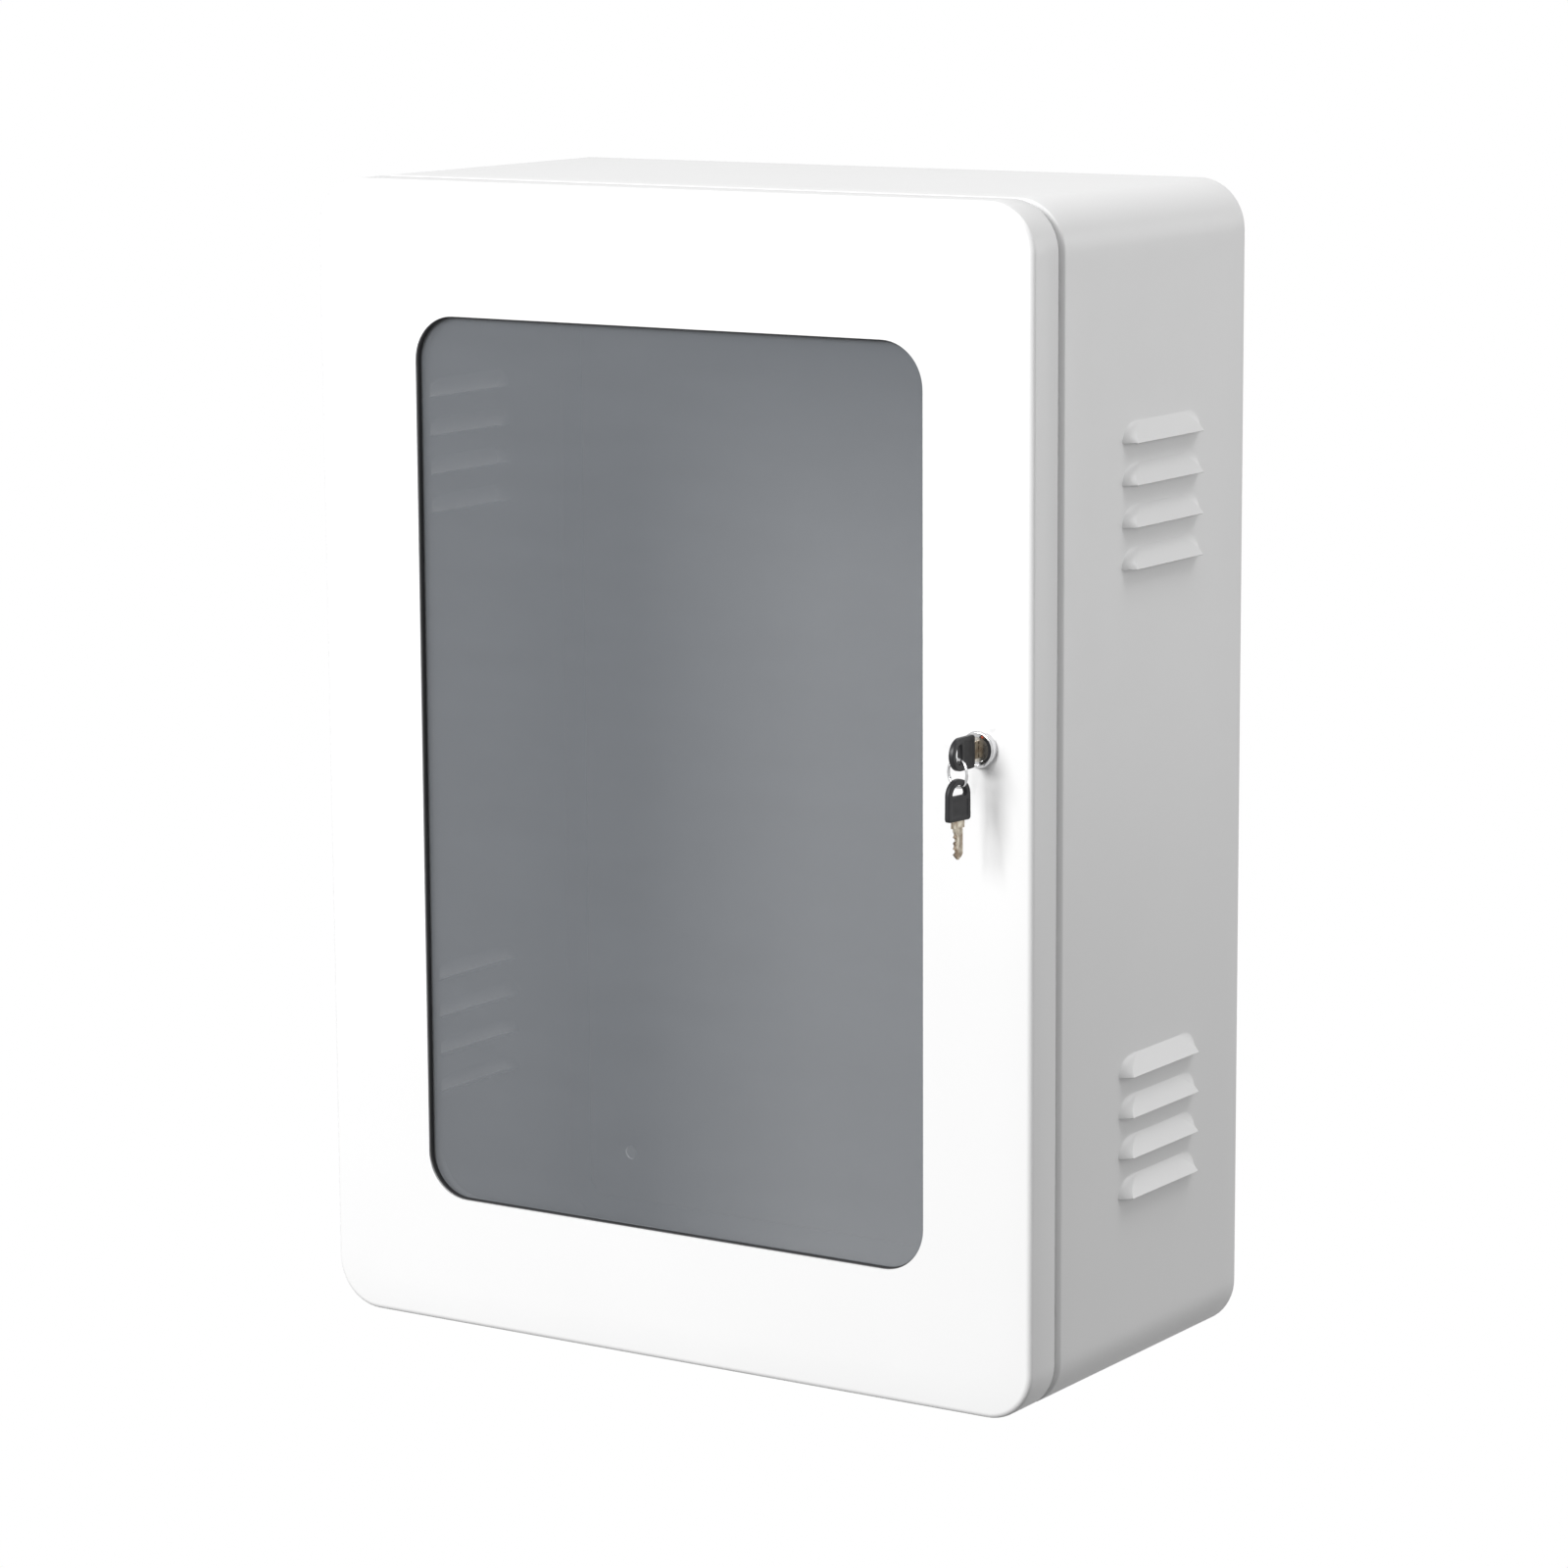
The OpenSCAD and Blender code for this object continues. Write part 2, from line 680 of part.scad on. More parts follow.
// Outline of the blade in the plane of the key: the first coordinate runs along the blade and
// the second across it
module blade_outline() {
    cut = 1.6;
    tip = 3;
    half = blade_w / 2;
    pitch = (blade_l - tip - 2) / 4;
    translate([-shoulder_l, -shoulder_w / 2]) square([shoulder_l, shoulder_w]);
    translate([-shoulder_l - tang_l, -tang_w / 2]) square([tang_l + reach, tang_w]);
    difference() {
        polygon([[-reach, -half], [blade_l - tip, -half], [blade_l, -half / 3],
                 [blade_l, half / 3], [blade_l - tip, half], [-reach, half]]);
        for (i = [0:3]) translate([2 + (i + 0.5) * pitch, -half])
            polygon([[-pitch / 2, -0.1], [-pitch / 5, cut * (0.5 + 0.5 * (i % 2))],
                     [pitch / 5, cut * (0.5 + 0.5 * (i % 2))], [pitch / 2, -0.1]]);
    }
}

// Outline of the head: square towards the blade and round at the far end
module head_outline() {
    translate([bow_y, -head_w / 2]) square([-shoulder_l - bow_y, head_w]);
    translate([bow_y, 0]) circle(head_w / 2);
}

// The half-round hole in the head
module bow_hole_outline() {
    intersection() {
        translate([bow_y, 0]) circle(bow_hole_r);
        translate([bow_y - 2 * bow_hole_r, -2 * bow_hole_r])
            square([2 * bow_hole_r, 4 * bow_hole_r]);
    }
}

// Gives a key outline its thickness along X, with the outline's first coordinate along Y
module key_plate(t) {
    rotate([90, 0, 90]) translate([0, 0, -t / 2]) linear_extrude(t) children();
}

module blade() {
    color("darkkhaki") key_plate(blade_t) blade_outline();
}

module head() {
    color([0.12, 0.12, 0.13]) difference() {
        key_plate(head_t) difference() {
            head_outline();
            bow_hole_outline();
        }
        translate([-blade_t / 2, -shoulder_l - tang_l, -tang_w / 2])
            cube([blade_t, tang_l + reach, tang_w]);
    }
}

module at_key() { translate([lock_x, key_y, lock_z]) children(); }

// The spare key hangs with its blade down, on the lowest point of the ring
module at_spare_key() {
    translate([lock_x, ring_hang_y, ring_low_z - spare_hang]) rotate([0, 0, spare_turn])
        rotate([-90, 0, 0]) translate([0, -bow_y, 0]) children();
}

module key_blade() { at_key() blade(); }

module key_head() { at_key() head(); }

module split_ring() {
    color("silver") translate([lock_x, ring_hang_y, ring_hang_z - ring_r])
        rotate([0, 0, ring_turn]) rotate([90, 0, 0])
            rotate_extrude() translate([ring_r, 0]) circle(ring_wire_r);
}

module spare_key_blade() { at_spare_key() blade(); }

module spare_key_head() { at_spare_key() head(); }

body_wrap();
back_panel();
front_frame();
frame_fold();
upper_hinge_arm();
lower_hinge_arm();
hinge_arm_screws();
upper_door_bracket();
lower_door_bracket();
upper_hinge_pin();
lower_hinge_pin();
bracket_nuts();
door_skin();
door_weld_studs();
window_gasket();
window_pane();
window_retainer();
retainer_nuts();
door_buffers();
lock_body();
lock_plug();
lock_wafers();
lock_washer();
lock_nut();
lock_cam();
cam_washer();
cam_screw();
index_dot();
key_blade();
key_head();
split_ring();
spare_key_blade();
spare_key_head();
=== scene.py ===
import json
import math

import bpy
import numpy as np
from mathutils import Matrix, Vector


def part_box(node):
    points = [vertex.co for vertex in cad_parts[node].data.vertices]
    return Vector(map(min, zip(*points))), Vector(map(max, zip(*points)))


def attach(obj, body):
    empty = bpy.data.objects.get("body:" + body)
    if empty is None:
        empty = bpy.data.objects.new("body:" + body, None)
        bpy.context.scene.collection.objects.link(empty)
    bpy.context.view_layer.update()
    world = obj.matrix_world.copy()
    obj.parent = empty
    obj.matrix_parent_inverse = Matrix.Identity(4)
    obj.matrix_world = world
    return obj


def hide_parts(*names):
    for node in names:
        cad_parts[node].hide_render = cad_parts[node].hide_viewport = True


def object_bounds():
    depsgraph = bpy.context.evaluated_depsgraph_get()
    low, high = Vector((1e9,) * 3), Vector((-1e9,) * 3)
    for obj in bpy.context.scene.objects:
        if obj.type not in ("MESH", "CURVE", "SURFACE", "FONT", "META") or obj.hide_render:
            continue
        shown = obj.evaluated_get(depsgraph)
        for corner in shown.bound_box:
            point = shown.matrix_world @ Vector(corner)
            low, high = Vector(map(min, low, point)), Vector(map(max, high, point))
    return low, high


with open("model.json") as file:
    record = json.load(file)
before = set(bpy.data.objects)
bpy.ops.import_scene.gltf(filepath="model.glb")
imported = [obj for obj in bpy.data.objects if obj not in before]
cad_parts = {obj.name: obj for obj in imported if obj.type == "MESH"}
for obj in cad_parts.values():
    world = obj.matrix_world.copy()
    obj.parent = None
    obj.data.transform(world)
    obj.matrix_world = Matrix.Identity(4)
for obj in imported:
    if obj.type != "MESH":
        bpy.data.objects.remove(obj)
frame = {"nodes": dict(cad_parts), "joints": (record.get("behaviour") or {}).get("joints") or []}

bl_info = {
    "name": "Glazed wall cabinet",
    "version": (1, 0, 0),
    "blender": (4, 5, 0),
    "location": "3D View > Sidebar > Cabinet",
    "description": "Builds the sheets, louvres, lock, keys and finishes of a wall cabinet with a window door",
    "category": "Object",
}

CAD_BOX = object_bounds()


# ---- Sizes and colours a user would change ----

def length(name, description, default):
    return bpy.props.FloatProperty(name=name, description=description, default=default, min=0.0,
                                   precision=5, subtype="DISTANCE", unit="LENGTH")


def colour(name, description, default):
    return bpy.props.FloatVectorProperty(name=name, description=description, default=default,
                                         size=3, min=0.0, max=1.0, subtype="COLOR")


def angle(name, description, degrees):
    return bpy.props.FloatProperty(name=name, description=description, default=math.radians(degrees),
                                   subtype="ANGLE", unit="ROTATION")


def number(name, description, default):
    return bpy.props.FloatProperty(name=name, description=description, default=default, min=0.0)


class CabinetSheetSizes(bpy.types.PropertyGroup):
    """Folded sheets of the cabinet and the door."""
    thickness: length("Sheet", "Thickness of the sheet", 0.0012)
    corner: length("Corner radius", "Outside radius of the long corners", 0.030)
    bend: length("Bend radius", "Outside radius of a folded edge", 0.0035)
    front_lip: length("Front lip", "Width of the wrap's front lip", 0.012)
    rear_lip: length("Rear lip", "Width of the wrap's rear lip", 0.018)
    door_return: length("Door return", "Width of the flange behind the door", 0.014)
    notch: length("Hinge notch", "Height of the return flange's notch at a hinge", 0.029)


class CabinetLouvreSizes(bpy.types.PropertyGroup):
    """Pressed louvres in the side walls."""
    run: length("Length", "Length of one louvre", 0.092)
    rise: length("Rise", "Height of a hood above its open lip", 0.012)
    proud: length("Proud", "How far a lip stands out from the side", 0.0065)
    pitch: length("Pitch", "Distance from one louvre to the next", 0.0243)
    count: bpy.props.IntProperty(name="Count", description="Louvres in one group", default=4, min=1)
    upper_drop: length("Upper drop", "Top of the cabinet to the highest lip", 0.143)
    lower_rise: length("Lower rise", "Bottom of the cabinet to the lowest lip", 0.112)
    from_wall: length("From the wall", "Wall to the middle of the louvres", 0.103)
    end_low: length("End slope at the lip", "Run of a hood's end at its lip", 0.0065)
    end_high: length("End slope at the top", "Run of a hood's end at its top", 0.023)
    end_round: length("End rounding", "Rounding of a hood's upper corners", 0.016)


class CabinetWindowSizes(bpy.types.PropertyGroup):
    """Window opening and its seal."""
    corner: length("Corner radius", "Corner radius of the opening", 0.0275)
    cover: length("Cover", "How far the seal runs behind the sheet", 0.012)
    shown: length("Shown", "How far the seal's edge stands into the opening", 0.0008)
    bead: number("Bead", "Edge's rounding as a share of half the seal's thickness", 0.45)


class CabinetLockSizes(bpy.types.PropertyGroup):
    """Bezel and barrel of the cam lock."""
    rim: length("Bezel radius", "Outside radius of the bezel", 0.0107)
    rim_round: length("Bezel rounding", "Rounding of the bezel's front edge", 0.0014)
    face_drop: length("Face drop", "Depth of the bezel's flat face below its rim", 0.00012)
    barrel: length("Barrel radius", "Outside radius of the threaded barrel", 0.009)
    flat: length("Flats", "Distance from the axis to the barrel's flats", 0.008)
    plug_head: length("Plug recess", "Radius of the recess for the plug's head", 0.00705)
    plug: length("Plug bore", "Radius of the bore for the plug", 0.00605)
    plug_seat: length("Plug seat", "Depth of the recess for the plug's head", 0.00195)
    thread: length("Thread pitch", "Distance from one thread to the next", 0.001)


class CabinetKeySizes(bpy.types.PropertyGroup):
    """Keys and their split ring."""
    shoulder: length("Shoulder", "Length of the blade's shoulder", 0.004)
    shoulder_width: length("Shoulder width", "Width of the blade's shoulder", 0.010)
    blade: length("Blade", "Length of the blade past its shoulder", 0.018)
    blade_width: length("Blade width", "Width of the blade", 0.007)
    blade_thickness: length("Blade thickness", "Thickness of the blade", 0.002)
    hole: length("Hole", "Radius of the half-round hole", 0.006)
    edge: length("Edge rounding", "Rounding of the head's edges", 0.0008)
    panel: length("Panel depth", "Depth of the sunk panel on the head", 0.00028)
    spare_turn: angle("Spare key turn", "Turn of the spare key about the vertical", -10)
    wire: length("Ring wire", "Half the width of the split ring's section", 0.00075)


class CabinetFinishes(bpy.types.PropertyGroup):
    """Colours of the finishes."""
    coat: colour("Powder coat", "Colour of the cabinet and the door", (0.80, 0.80, 0.80))
    glass: colour("Glass", "Tint of the window pane", (0.200, 0.215, 0.235))
    rubber: colour("Rubber", "Colour of the seal and the buffers", (0.012, 0.012, 0.013))
    zinc: colour("Zinc", "Colour of the plated hardware", (0.68, 0.69, 0.70))
    steel: colour("Steel", "Colour of the hinge pins", (0.55, 0.55, 0.56))
    chrome: colour("Chrome", "Colour of the bezel and the ring", (0.78, 0.78, 0.79))
    plug: colour("Plug", "Colour of the lock's plug", (0.66, 0.63, 0.57))
    brass: colour("Brass", "Colour of the lock's wafers", (0.72, 0.50, 0.20))
    enamel: colour("Enamel", "Colour of the index dot", (0.36, 0.060, 0.030))
    nickel: colour("Nickel", "Colour of the key blades", (0.66, 0.62, 0.52))
    worn: colour("Worn nickel", "Colour of the key blades where the plating has gone", (0.30, 0.235, 0.175))
    grip: colour("Key head", "Colour of the keys' moulded heads", (0.0055, 0.0055, 0.0070))


class CabinetStage(bpy.types.PropertyGroup):
    """Camera, floor and lights."""
    azimuth: angle("Azimuth", "Camera's turn to the right of the door", 33.13)
    elevation: angle("Elevation", "Camera's height above the horizon", 10.03)
    roll: angle("Roll", "Camera's roll", -0.304)
    distance: length("Distance", "Camera to the point it looks at", 3.063)
    aim_right: length("Aim right", "Point looked at, right of the door's middle", 0.0836)
    aim_up: length("Aim up", "Point looked at, above the door's middle", 0.0094)
    lens: number("Lens", "Focal length in millimetres", 121.41)
    floor_drop: length("Floor drop", "Gap between the cabinet and the floor", 0.30)
    key: number("Front light", "Power of the light in front of the door", 195.0)
    fill: number("Side light", "Power of the light beside the cabinet", 27.0)
    overhead: number("Overhead light", "Power of the light above", 30.0)
    sky: number("Sky", "Strength of the light from all round", 0.46)


# ---- Meshes ----

CORNER_POINTS = 12                      # points round each corner of a folded sheet


def corners(node):
    """Lowest and highest corner of a CAD node as arrays."""
    low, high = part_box(node)
    return np.array(low), np.array(high)


def grid_faces(count_u, count_v, loop_u=False, loop_v=False):
    """Quads between neighbours of a grid whose points run over v first, as (u, v, corner) indices."""
    u = np.arange(count_u if loop_u else count_u - 1)[:, None]
    v = np.arange(count_v if loop_v else count_v - 1)[None, :]
    u1, v1 = (u + 1) % count_u, (v + 1) % count_v
    return np.stack([u * count_v + v, u * count_v + v1, u1 * count_v + v1, u1 * count_v + v], -1)


def signed_volume(points, quads):
    """Sixfold volume between the quads and their middle, negative where the faces point inwards."""
    a, b, c, d = (points[quads[:, k]] - points.mean(0) for k in range(4))
    return np.sum(a * np.cross(b, c)) + np.sum(a * np.cross(c, d))


def new_piece(name, points, quads, caps=()):
    """A mesh object at the origin from points (n, 3), quads (m, 4) and closing faces of any size."""
    used, quads_flat = np.unique(quads, return_inverse=True)
    renumber = np.full(len(points), -1)
    renumber[used] = np.arange(len(used))
    faces = quads_flat.reshape(-1, 4).tolist() + [renumber[np.asarray(cap)].tolist() for cap in caps]
    mesh = bpy.data.meshes.new(name)
    mesh.from_pydata(points[used].tolist(), [], faces)
    mesh.validate()
    piece = bpy.data.objects.new(name, mesh)
    bpy.context.scene.collection.objects.link(piece)
    return piece


def closed_piece(name, points, quads, caps=()):
    """A closed mesh with its faces turned outwards."""
    if signed_volume(points, quads) < 0:
        quads = quads[:, ::-1]
        caps = [np.asarray(cap)[::-1] for cap in caps]
    return new_piece(name, points, quads, caps)


def tube(name, points, close_ends=True):
    """A closed mesh from rings of points (rings, around, 3), joined in order, with flat ends or as a loop."""
    rings, around = points.shape[:2]
    quads = grid_faces(rings, around, loop_u=not close_ends, loop_v=True).reshape(-1, 4)
    last = (rings - 1) * around
    caps = [np.arange(around)[::-1], last + np.arange(around)] if close_ends else []
    return closed_piece(name, points.reshape(-1, 3), quads, caps)


def smooth(piece, sharp=math.radians(35)):
    """Smooth shading that breaks where two faces meet at more than an angle."""
    mesh = piece.data
    mesh.polygons.foreach_set("use_smooth", np.ones(len(mesh.polygons), bool))
    mesh.set_sharp_from_angle(angle=sharp)
    mesh.update()
    return piece


def thicken(piece, thickness, sharp):
    """Gives a sheet its thickness on the inside of its face, and keeps the result as the piece's mesh."""
    solid = piece.modifiers.new("Sheet", "SOLIDIFY")
    solid.thickness, solid.offset, solid.use_even_offset = thickness, -1.0, True
    graph = bpy.context.evaluated_depsgraph_get()
    made = bpy.data.meshes.new_from_object(piece.evaluated_get(graph))
    piece.modifiers.clear()
    old, piece.data = piece.data, made
    bpy.data.meshes.remove(old)
    made.name = piece.name
    return smooth(piece, math.radians(sharp))


def finish_piece(piece, material, body, slot, *nodes):
    """Gives a piece its material and its body, and hides the CAD nodes it stands for. The slot is not used.
    """
    piece.data.materials.clear()
    piece.data.materials.append(material)
    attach(piece, body)
    if nodes:
        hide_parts(*nodes)
    return piece


def spread(places, hold, low, high):
    """Places along a side, kept within +-hold and spread evenly beyond it as far as -low and +high."""
    beyond = (np.abs(places) - hold) / (np.abs(places).max() - hold)
    far = hold + beyond * (np.where(places > 0, high, low) - hold)
    return np.where(np.abs(places) <= hold, places, np.sign(places) * far)


def rounded_outlines(half_w, half_h, radius, mid_z, rows, cols, hold, per_corner):
    """Rounded rectangles in the XZ plane, one for each entry of the size arrays, all with the same points.

    Each starts at the foot of the right side and runs up it, over the top, down the left side and back along
    the bottom. Corner points are centre + radius * (cos, sin). Rows place the points of the long sides, which
    all outlines share within +-hold, and cols those of the short sides.
    """
    half_w, half_h, radius, mid_z = (np.asarray(a, float).reshape(-1, 1)
                                     for a in np.broadcast_arrays(half_w, half_h, radius, mid_z))
    side = spread(rows, hold, half_h - radius - mid_z, half_h - radius + mid_z)
    across = spread(cols, 0.0, half_w - radius, half_w - radius)
    turn = np.linspace(0, np.pi / 2, per_corner + 2)[1:-1]
    xs, zs = [], []
    for quarter, (sx, sz) in enumerate([(1, 1), (-1, 1), (-1, -1), (1, -1)]):
        if quarter % 2 == 0:
            xs.append(sx * half_w + 0 * side)
            zs.append(side if quarter == 0 else side[:, ::-1])
        else:
            xs.append(across[:, ::-1] if quarter == 1 else across)
            zs.append(mid_z + sz * half_h + 0 * across)
        xs.append(sx * (half_w - radius) + radius * np.cos(turn + quarter * np.pi / 2))
        zs.append(mid_z + sz * (half_h - radius) + radius * np.sin(turn + quarter * np.pi / 2))
    return np.concatenate(xs, 1), np.concatenate(zs, 1)


def bend_steps(radius, count=8):
    """Quarter bend as (distance outwards, distance along) from its start, at even angles."""
    turn = np.linspace(0, np.pi / 2, count + 1)
    return radius * np.sin(turn), radius * (1 - np.cos(turn))


def revolve(profile, centre, count):
    """Surface of revolution about Y, angle by angle, from (radius, place along Y), and those angles."""
    turn = np.linspace(0, 2 * np.pi, count, endpoint=False)[:, None]
    x = centre[0] + profile[:, 0] * np.cos(turn)
    z = centre[2] + profile[:, 0] * np.sin(turn)
    return np.stack([x, centre[1] + profile[:, 1] + 0 * turn, z], -1), turn


# ---- Finishes ----

class Socket:
    """A shader value in a node tree. Arithmetic on it adds Math nodes."""

    def __init__(self, tree, socket=None):
        self.tree, self.socket = tree, socket

    def add(self, kind, inputs=None, settings=None, out=0):
        """Adds a node with its settings, such as an operation or a ramp's stops, and its inputs."""
        node = self.tree.nodes.new(kind)
        for name, value in (settings or {}).items():
            if name == "stops":
                ramp = node.color_ramp.elements
                while len(ramp) < len(value):
                    ramp.new(1.0)
                for stop, (place, tone) in zip(ramp, value):
                    stop.position, stop.color = place, (*tone, 1.0)
            else:
                setattr(node, name, value)
        for name, value in (inputs or {}).items():
            if isinstance(value, Socket):
                self.tree.links.new(value.socket, node.inputs[name])
            elif isinstance(node.inputs[name].default_value, (int, float)):
                node.inputs[name].default_value = value
            else:
                node.inputs[name].default_value = (*value, 1.0)[:len(node.inputs[name].default_value)]
        return Socket(self.tree, node.outputs[out])

    def math(self, operation, first, second):
        return self.add("ShaderNodeMath", {0: first, 1: second}, {"operation": operation})

    def __add__(self, other):
        return self.math("ADD", self, other)

    def __sub__(self, other):
        return self.math("SUBTRACT", self, other)

    def __rsub__(self, other):
        return self.math("SUBTRACT", other, self)

    def __mul__(self, other):
        return self.math("MULTIPLY", self, other)

    __radd__, __rmul__ = __add__, __mul__

    def noise(self, scale, detail=3.0):
        """Fractal noise between 0 and 1 with a scale in cycles per metre."""
        return self.add("ShaderNodeTexNoise", {"Vector": self, "Scale": scale, "Detail": detail}, out="Fac")

    def stretched(self, scale):
        """These coordinates scaled differently along X, Y and Z."""
        return self.add("ShaderNodeMapping", {"Vector": self, "Scale": scale})

    def ramp(self, *stops):
        return self.add("ShaderNodeValToRGB", {"Fac": self}, {"stops": stops}, out="Color")

    def bump(self, distance, strength):
        """A normal raised by this height."""
        return self.add("ShaderNodeBump", {"Height": self, "Distance": distance, "Strength": strength},
                        out="Normal")


def material(name, build, fixed=None):
    """A material with fixed numbers on its shader's sockets and whatever build() makes from the place."""
    made = bpy.data.materials.new(name)
    made.use_nodes = True
    tree = made.node_tree
    shader = tree.nodes["Principled BSDF"]
    for key, value in (fixed or {}).items():
        shader.inputs[key].default_value = (*value, 1.0) if hasattr(value, "__len__") else value
    place = Socket(tree).add("ShaderNodeTexCoord", out="Object")
    for key, value in build(place).items():
        tree.links.new(value.socket, shader.inputs[key])
    return made


def shade(colour_value, factor):
    """A colour made lighter or darker."""
    return tuple(min(1.0, c * factor) for c in colour_value)


def powder_coat(name, base):
    """Stoved powder coat: near white, faintly mottled, with a fine orange peel."""
    def build(place):
        mottle = place.noise(5.0, 2.0)
        peel = place.noise(850.0, 2.0) + 0.6 * place.noise(260.0, 1.0)
        return {"Base Color": mottle.ramp((0.3, shade(base, 0.985)), (0.7, shade(base, 1.01))),
                "Roughness": 0.30 + 0.08 * place.noise(40.0),
                "Normal": peel.bump(0.00005, 0.35)}
    return material(name, build)


def tinted_glass(name, base):
    """Smoked glass: dark, half seen through, with the faintest wiping marks in its gloss."""
    def build(place):
        wipe = place.stretched((3.0, 1.0, 18.0)).noise(4.0, 4.0)
        return {"Roughness": 0.015 + 0.035 * wipe,
                "Base Color": wipe.ramp((0.2, shade(base, 0.96)), (0.8, shade(base, 1.04)))}
    return material(name, build, {"Alpha": 0.45})


def rubber(name, base):
    """Extruded rubber: matt black with a fine grain and a little bloom."""
    def build(place):
        bloom = place.noise(60.0, 4.0)
        return {"Base Color": bloom.ramp((0.35, base), (0.8, shade(base, 2.2))),
                "Roughness": 0.52 + 0.2 * bloom,
                "Normal": place.noise(2400.0, 2.0).bump(0.00004, 0.4)}
    return material(name, build)


def plated(name, base, rough, spangle):
    """Plated steel: small crystals that vary in tone and gloss, over a fine brushed grain."""
    def build(place):
        cells = place.add("ShaderNodeTexVoronoi", {"Vector": place, "Scale": spangle}, out="Color")
        tone = cells.add("ShaderNodeRGBToBW", {0: cells})
        haze = place.noise(90.0, 4.0)
        grey = 0.6 * tone + 0.4 * haze
        return {"Base Color": grey.ramp((0.15, shade(base, 0.84)), (0.85, shade(base, 1.12))),
                "Roughness": rough + 0.12 * tone + 0.08 * haze,
                "Normal": place.stretched((1.0, 14.0, 1.0)).noise(900.0, 2.0).bump(0.00002, 0.3)}
    return material(name, build, {"Metallic": 1.0})


def polished(name, base, rough):
    """Polished metal: bright, with hairline scratches and faint finger haze."""
    def build(place):
        haze = place.noise(220.0, 3.0)
        scratch = place.stretched((1.0, 6.0, 0.4)).noise(3200.0, 2.0)
        return {"Base Color": haze.ramp((0.25, shade(base, 0.93)), (0.75, shade(base, 1.04))),
                "Roughness": rough + 0.10 * haze,
                "Normal": scratch.bump(0.00001, 0.12)}
    return material(name, build, {"Metallic": 1.0})


def worn_metal(name, base, worn):
    """Key metal: plating that is browned and rubbed in streaks along the blade."""
    def build(place):
        streak = place.stretched((1.0, 0.25, 0.25)).noise(900.0, 4.0)
        patch = place.noise(160.0, 2.0)
        wear = 0.55 * streak + 0.6 * patch
        return {"Base Color": wear.ramp((0.40, base), (0.62, worn)),
                "Roughness": 0.22 + 0.28 * wear,
                "Normal": streak.bump(0.00003, 0.3)}
    return material(name, build, {"Metallic": 1.0})


def enamel(name, base):
    """Filled enamel: glossy, a little uneven in colour."""
    def build(place):
        pool = place.noise(900.0, 2.0)
        return {"Base Color": pool.ramp((0.3, shade(base, 0.8)), (0.75, shade(base, 1.2))),
                "Roughness": 0.22 + 0.15 * pool,
                "Normal": pool.bump(0.00002, 0.3)}
    return material(name, build)


def moulded_grip(name, base):
    """Moulded plastic: near black, spark-eroded grain, rubbed a little glossier in patches."""
    def build(place):
        rubbed = place.noise(120.0, 3.0)
        return {"Base Color": rubbed.ramp((0.3, base), (0.8, shade(base, 1.7))),
                "Roughness": 0.50 - 0.16 * rubbed,
                "Normal": place.noise(3000.0, 2.0).bump(0.00004, 0.45)}
    return material(name, build)


def finishes():
    """Makes every finish once and returns them by slot."""
    if FINISH:
        return FINISH
    tint = bpy.context.scene.cabinet_finishes
    FINISH.update({
        "cabinet_paint": powder_coat("cabinet_powder_coat", tint.coat),
        "door_paint": powder_coat("door_powder_coat", tint.coat),
        "tinted_glass": tinted_glass("smoked_glass", tint.glass),
        "gasket_rubber": rubber("seal_rubber", tint.rubber),
        "zinc_plate": plated("zinc_plating", tint.zinc, 0.26, 700.0),
        "pin_steel": plated("ground_steel", tint.steel, 0.18, 1800.0),
        "lock_chrome": polished("polished_chrome", tint.chrome, 0.07),
        "plug_metal": polished("plug_nickel", tint.plug, 0.22),
        "wafer_brass": plated("wafer_brass", tint.brass, 0.24, 1500.0),
        "index_enamel": enamel("index_enamel", tint.enamel),
        "key_metal": worn_metal("key_nickel", tint.nickel, tint.worn),
        "key_plastic": moulded_grip("key_head_plastic", tint.grip),
    })
    return FINISH


FINISH = {}


# ---- Sheets ----

def louvre_rows(size, top_z):
    """Rows of the side wall's grid: height, rise above the lip for the shape, and whether the row is raised.

    A lip has two rows at one height, so that the sheet can open there: the lower stays in the wall and the
    upper is pushed out with the hood. Between louvres the rows ease back to the shape at the lip.
    """
    hood = np.array([0, 0.05, 0.15, 0.29, 0.43, 0.57, 0.71, 0.84, 0.93, 1.0]) * size.rise
    gap = size.pitch - size.rise
    flat = np.array([0.07, 0.3, 0.65, 1.0])
    steps = np.concatenate([[0.0], hood, size.rise + gap * flat])
    shape = np.concatenate([[0.0], hood, size.rise * (1 - flat)])
    raised = np.concatenate([[False], np.ones(len(hood), bool), np.zeros(len(flat), bool)])
    places = np.arange(size.count) * size.pitch
    lips = np.sort(np.concatenate([top_z - size.upper_drop - places, -top_z + size.lower_rise + places]))
    lips_z = (lips[:, None] + steps).ravel()
    shapes, raises = np.tile(shape, len(lips)), np.tile(raised, len(lips))
    plain = top_z * np.array([-0.90, -0.82, -0.75, -0.36, -0.2, 0.0, 0.16, 0.30, 0.68, 0.8, 0.90])
    height = np.concatenate([lips_z, plain])
    shapes = np.concatenate([shapes, 0 * plain])
    raises = np.concatenate([raises, np.zeros(len(plain), bool)])
    order = np.argsort(np.round(height, 6), kind="stable")
    height, shapes, raises = height[order], shapes[order], raises[order]
    follows = np.concatenate([[True], np.diff(height) > 1e-6]) | raises
    return height[follows], shapes[follows], raises[follows]


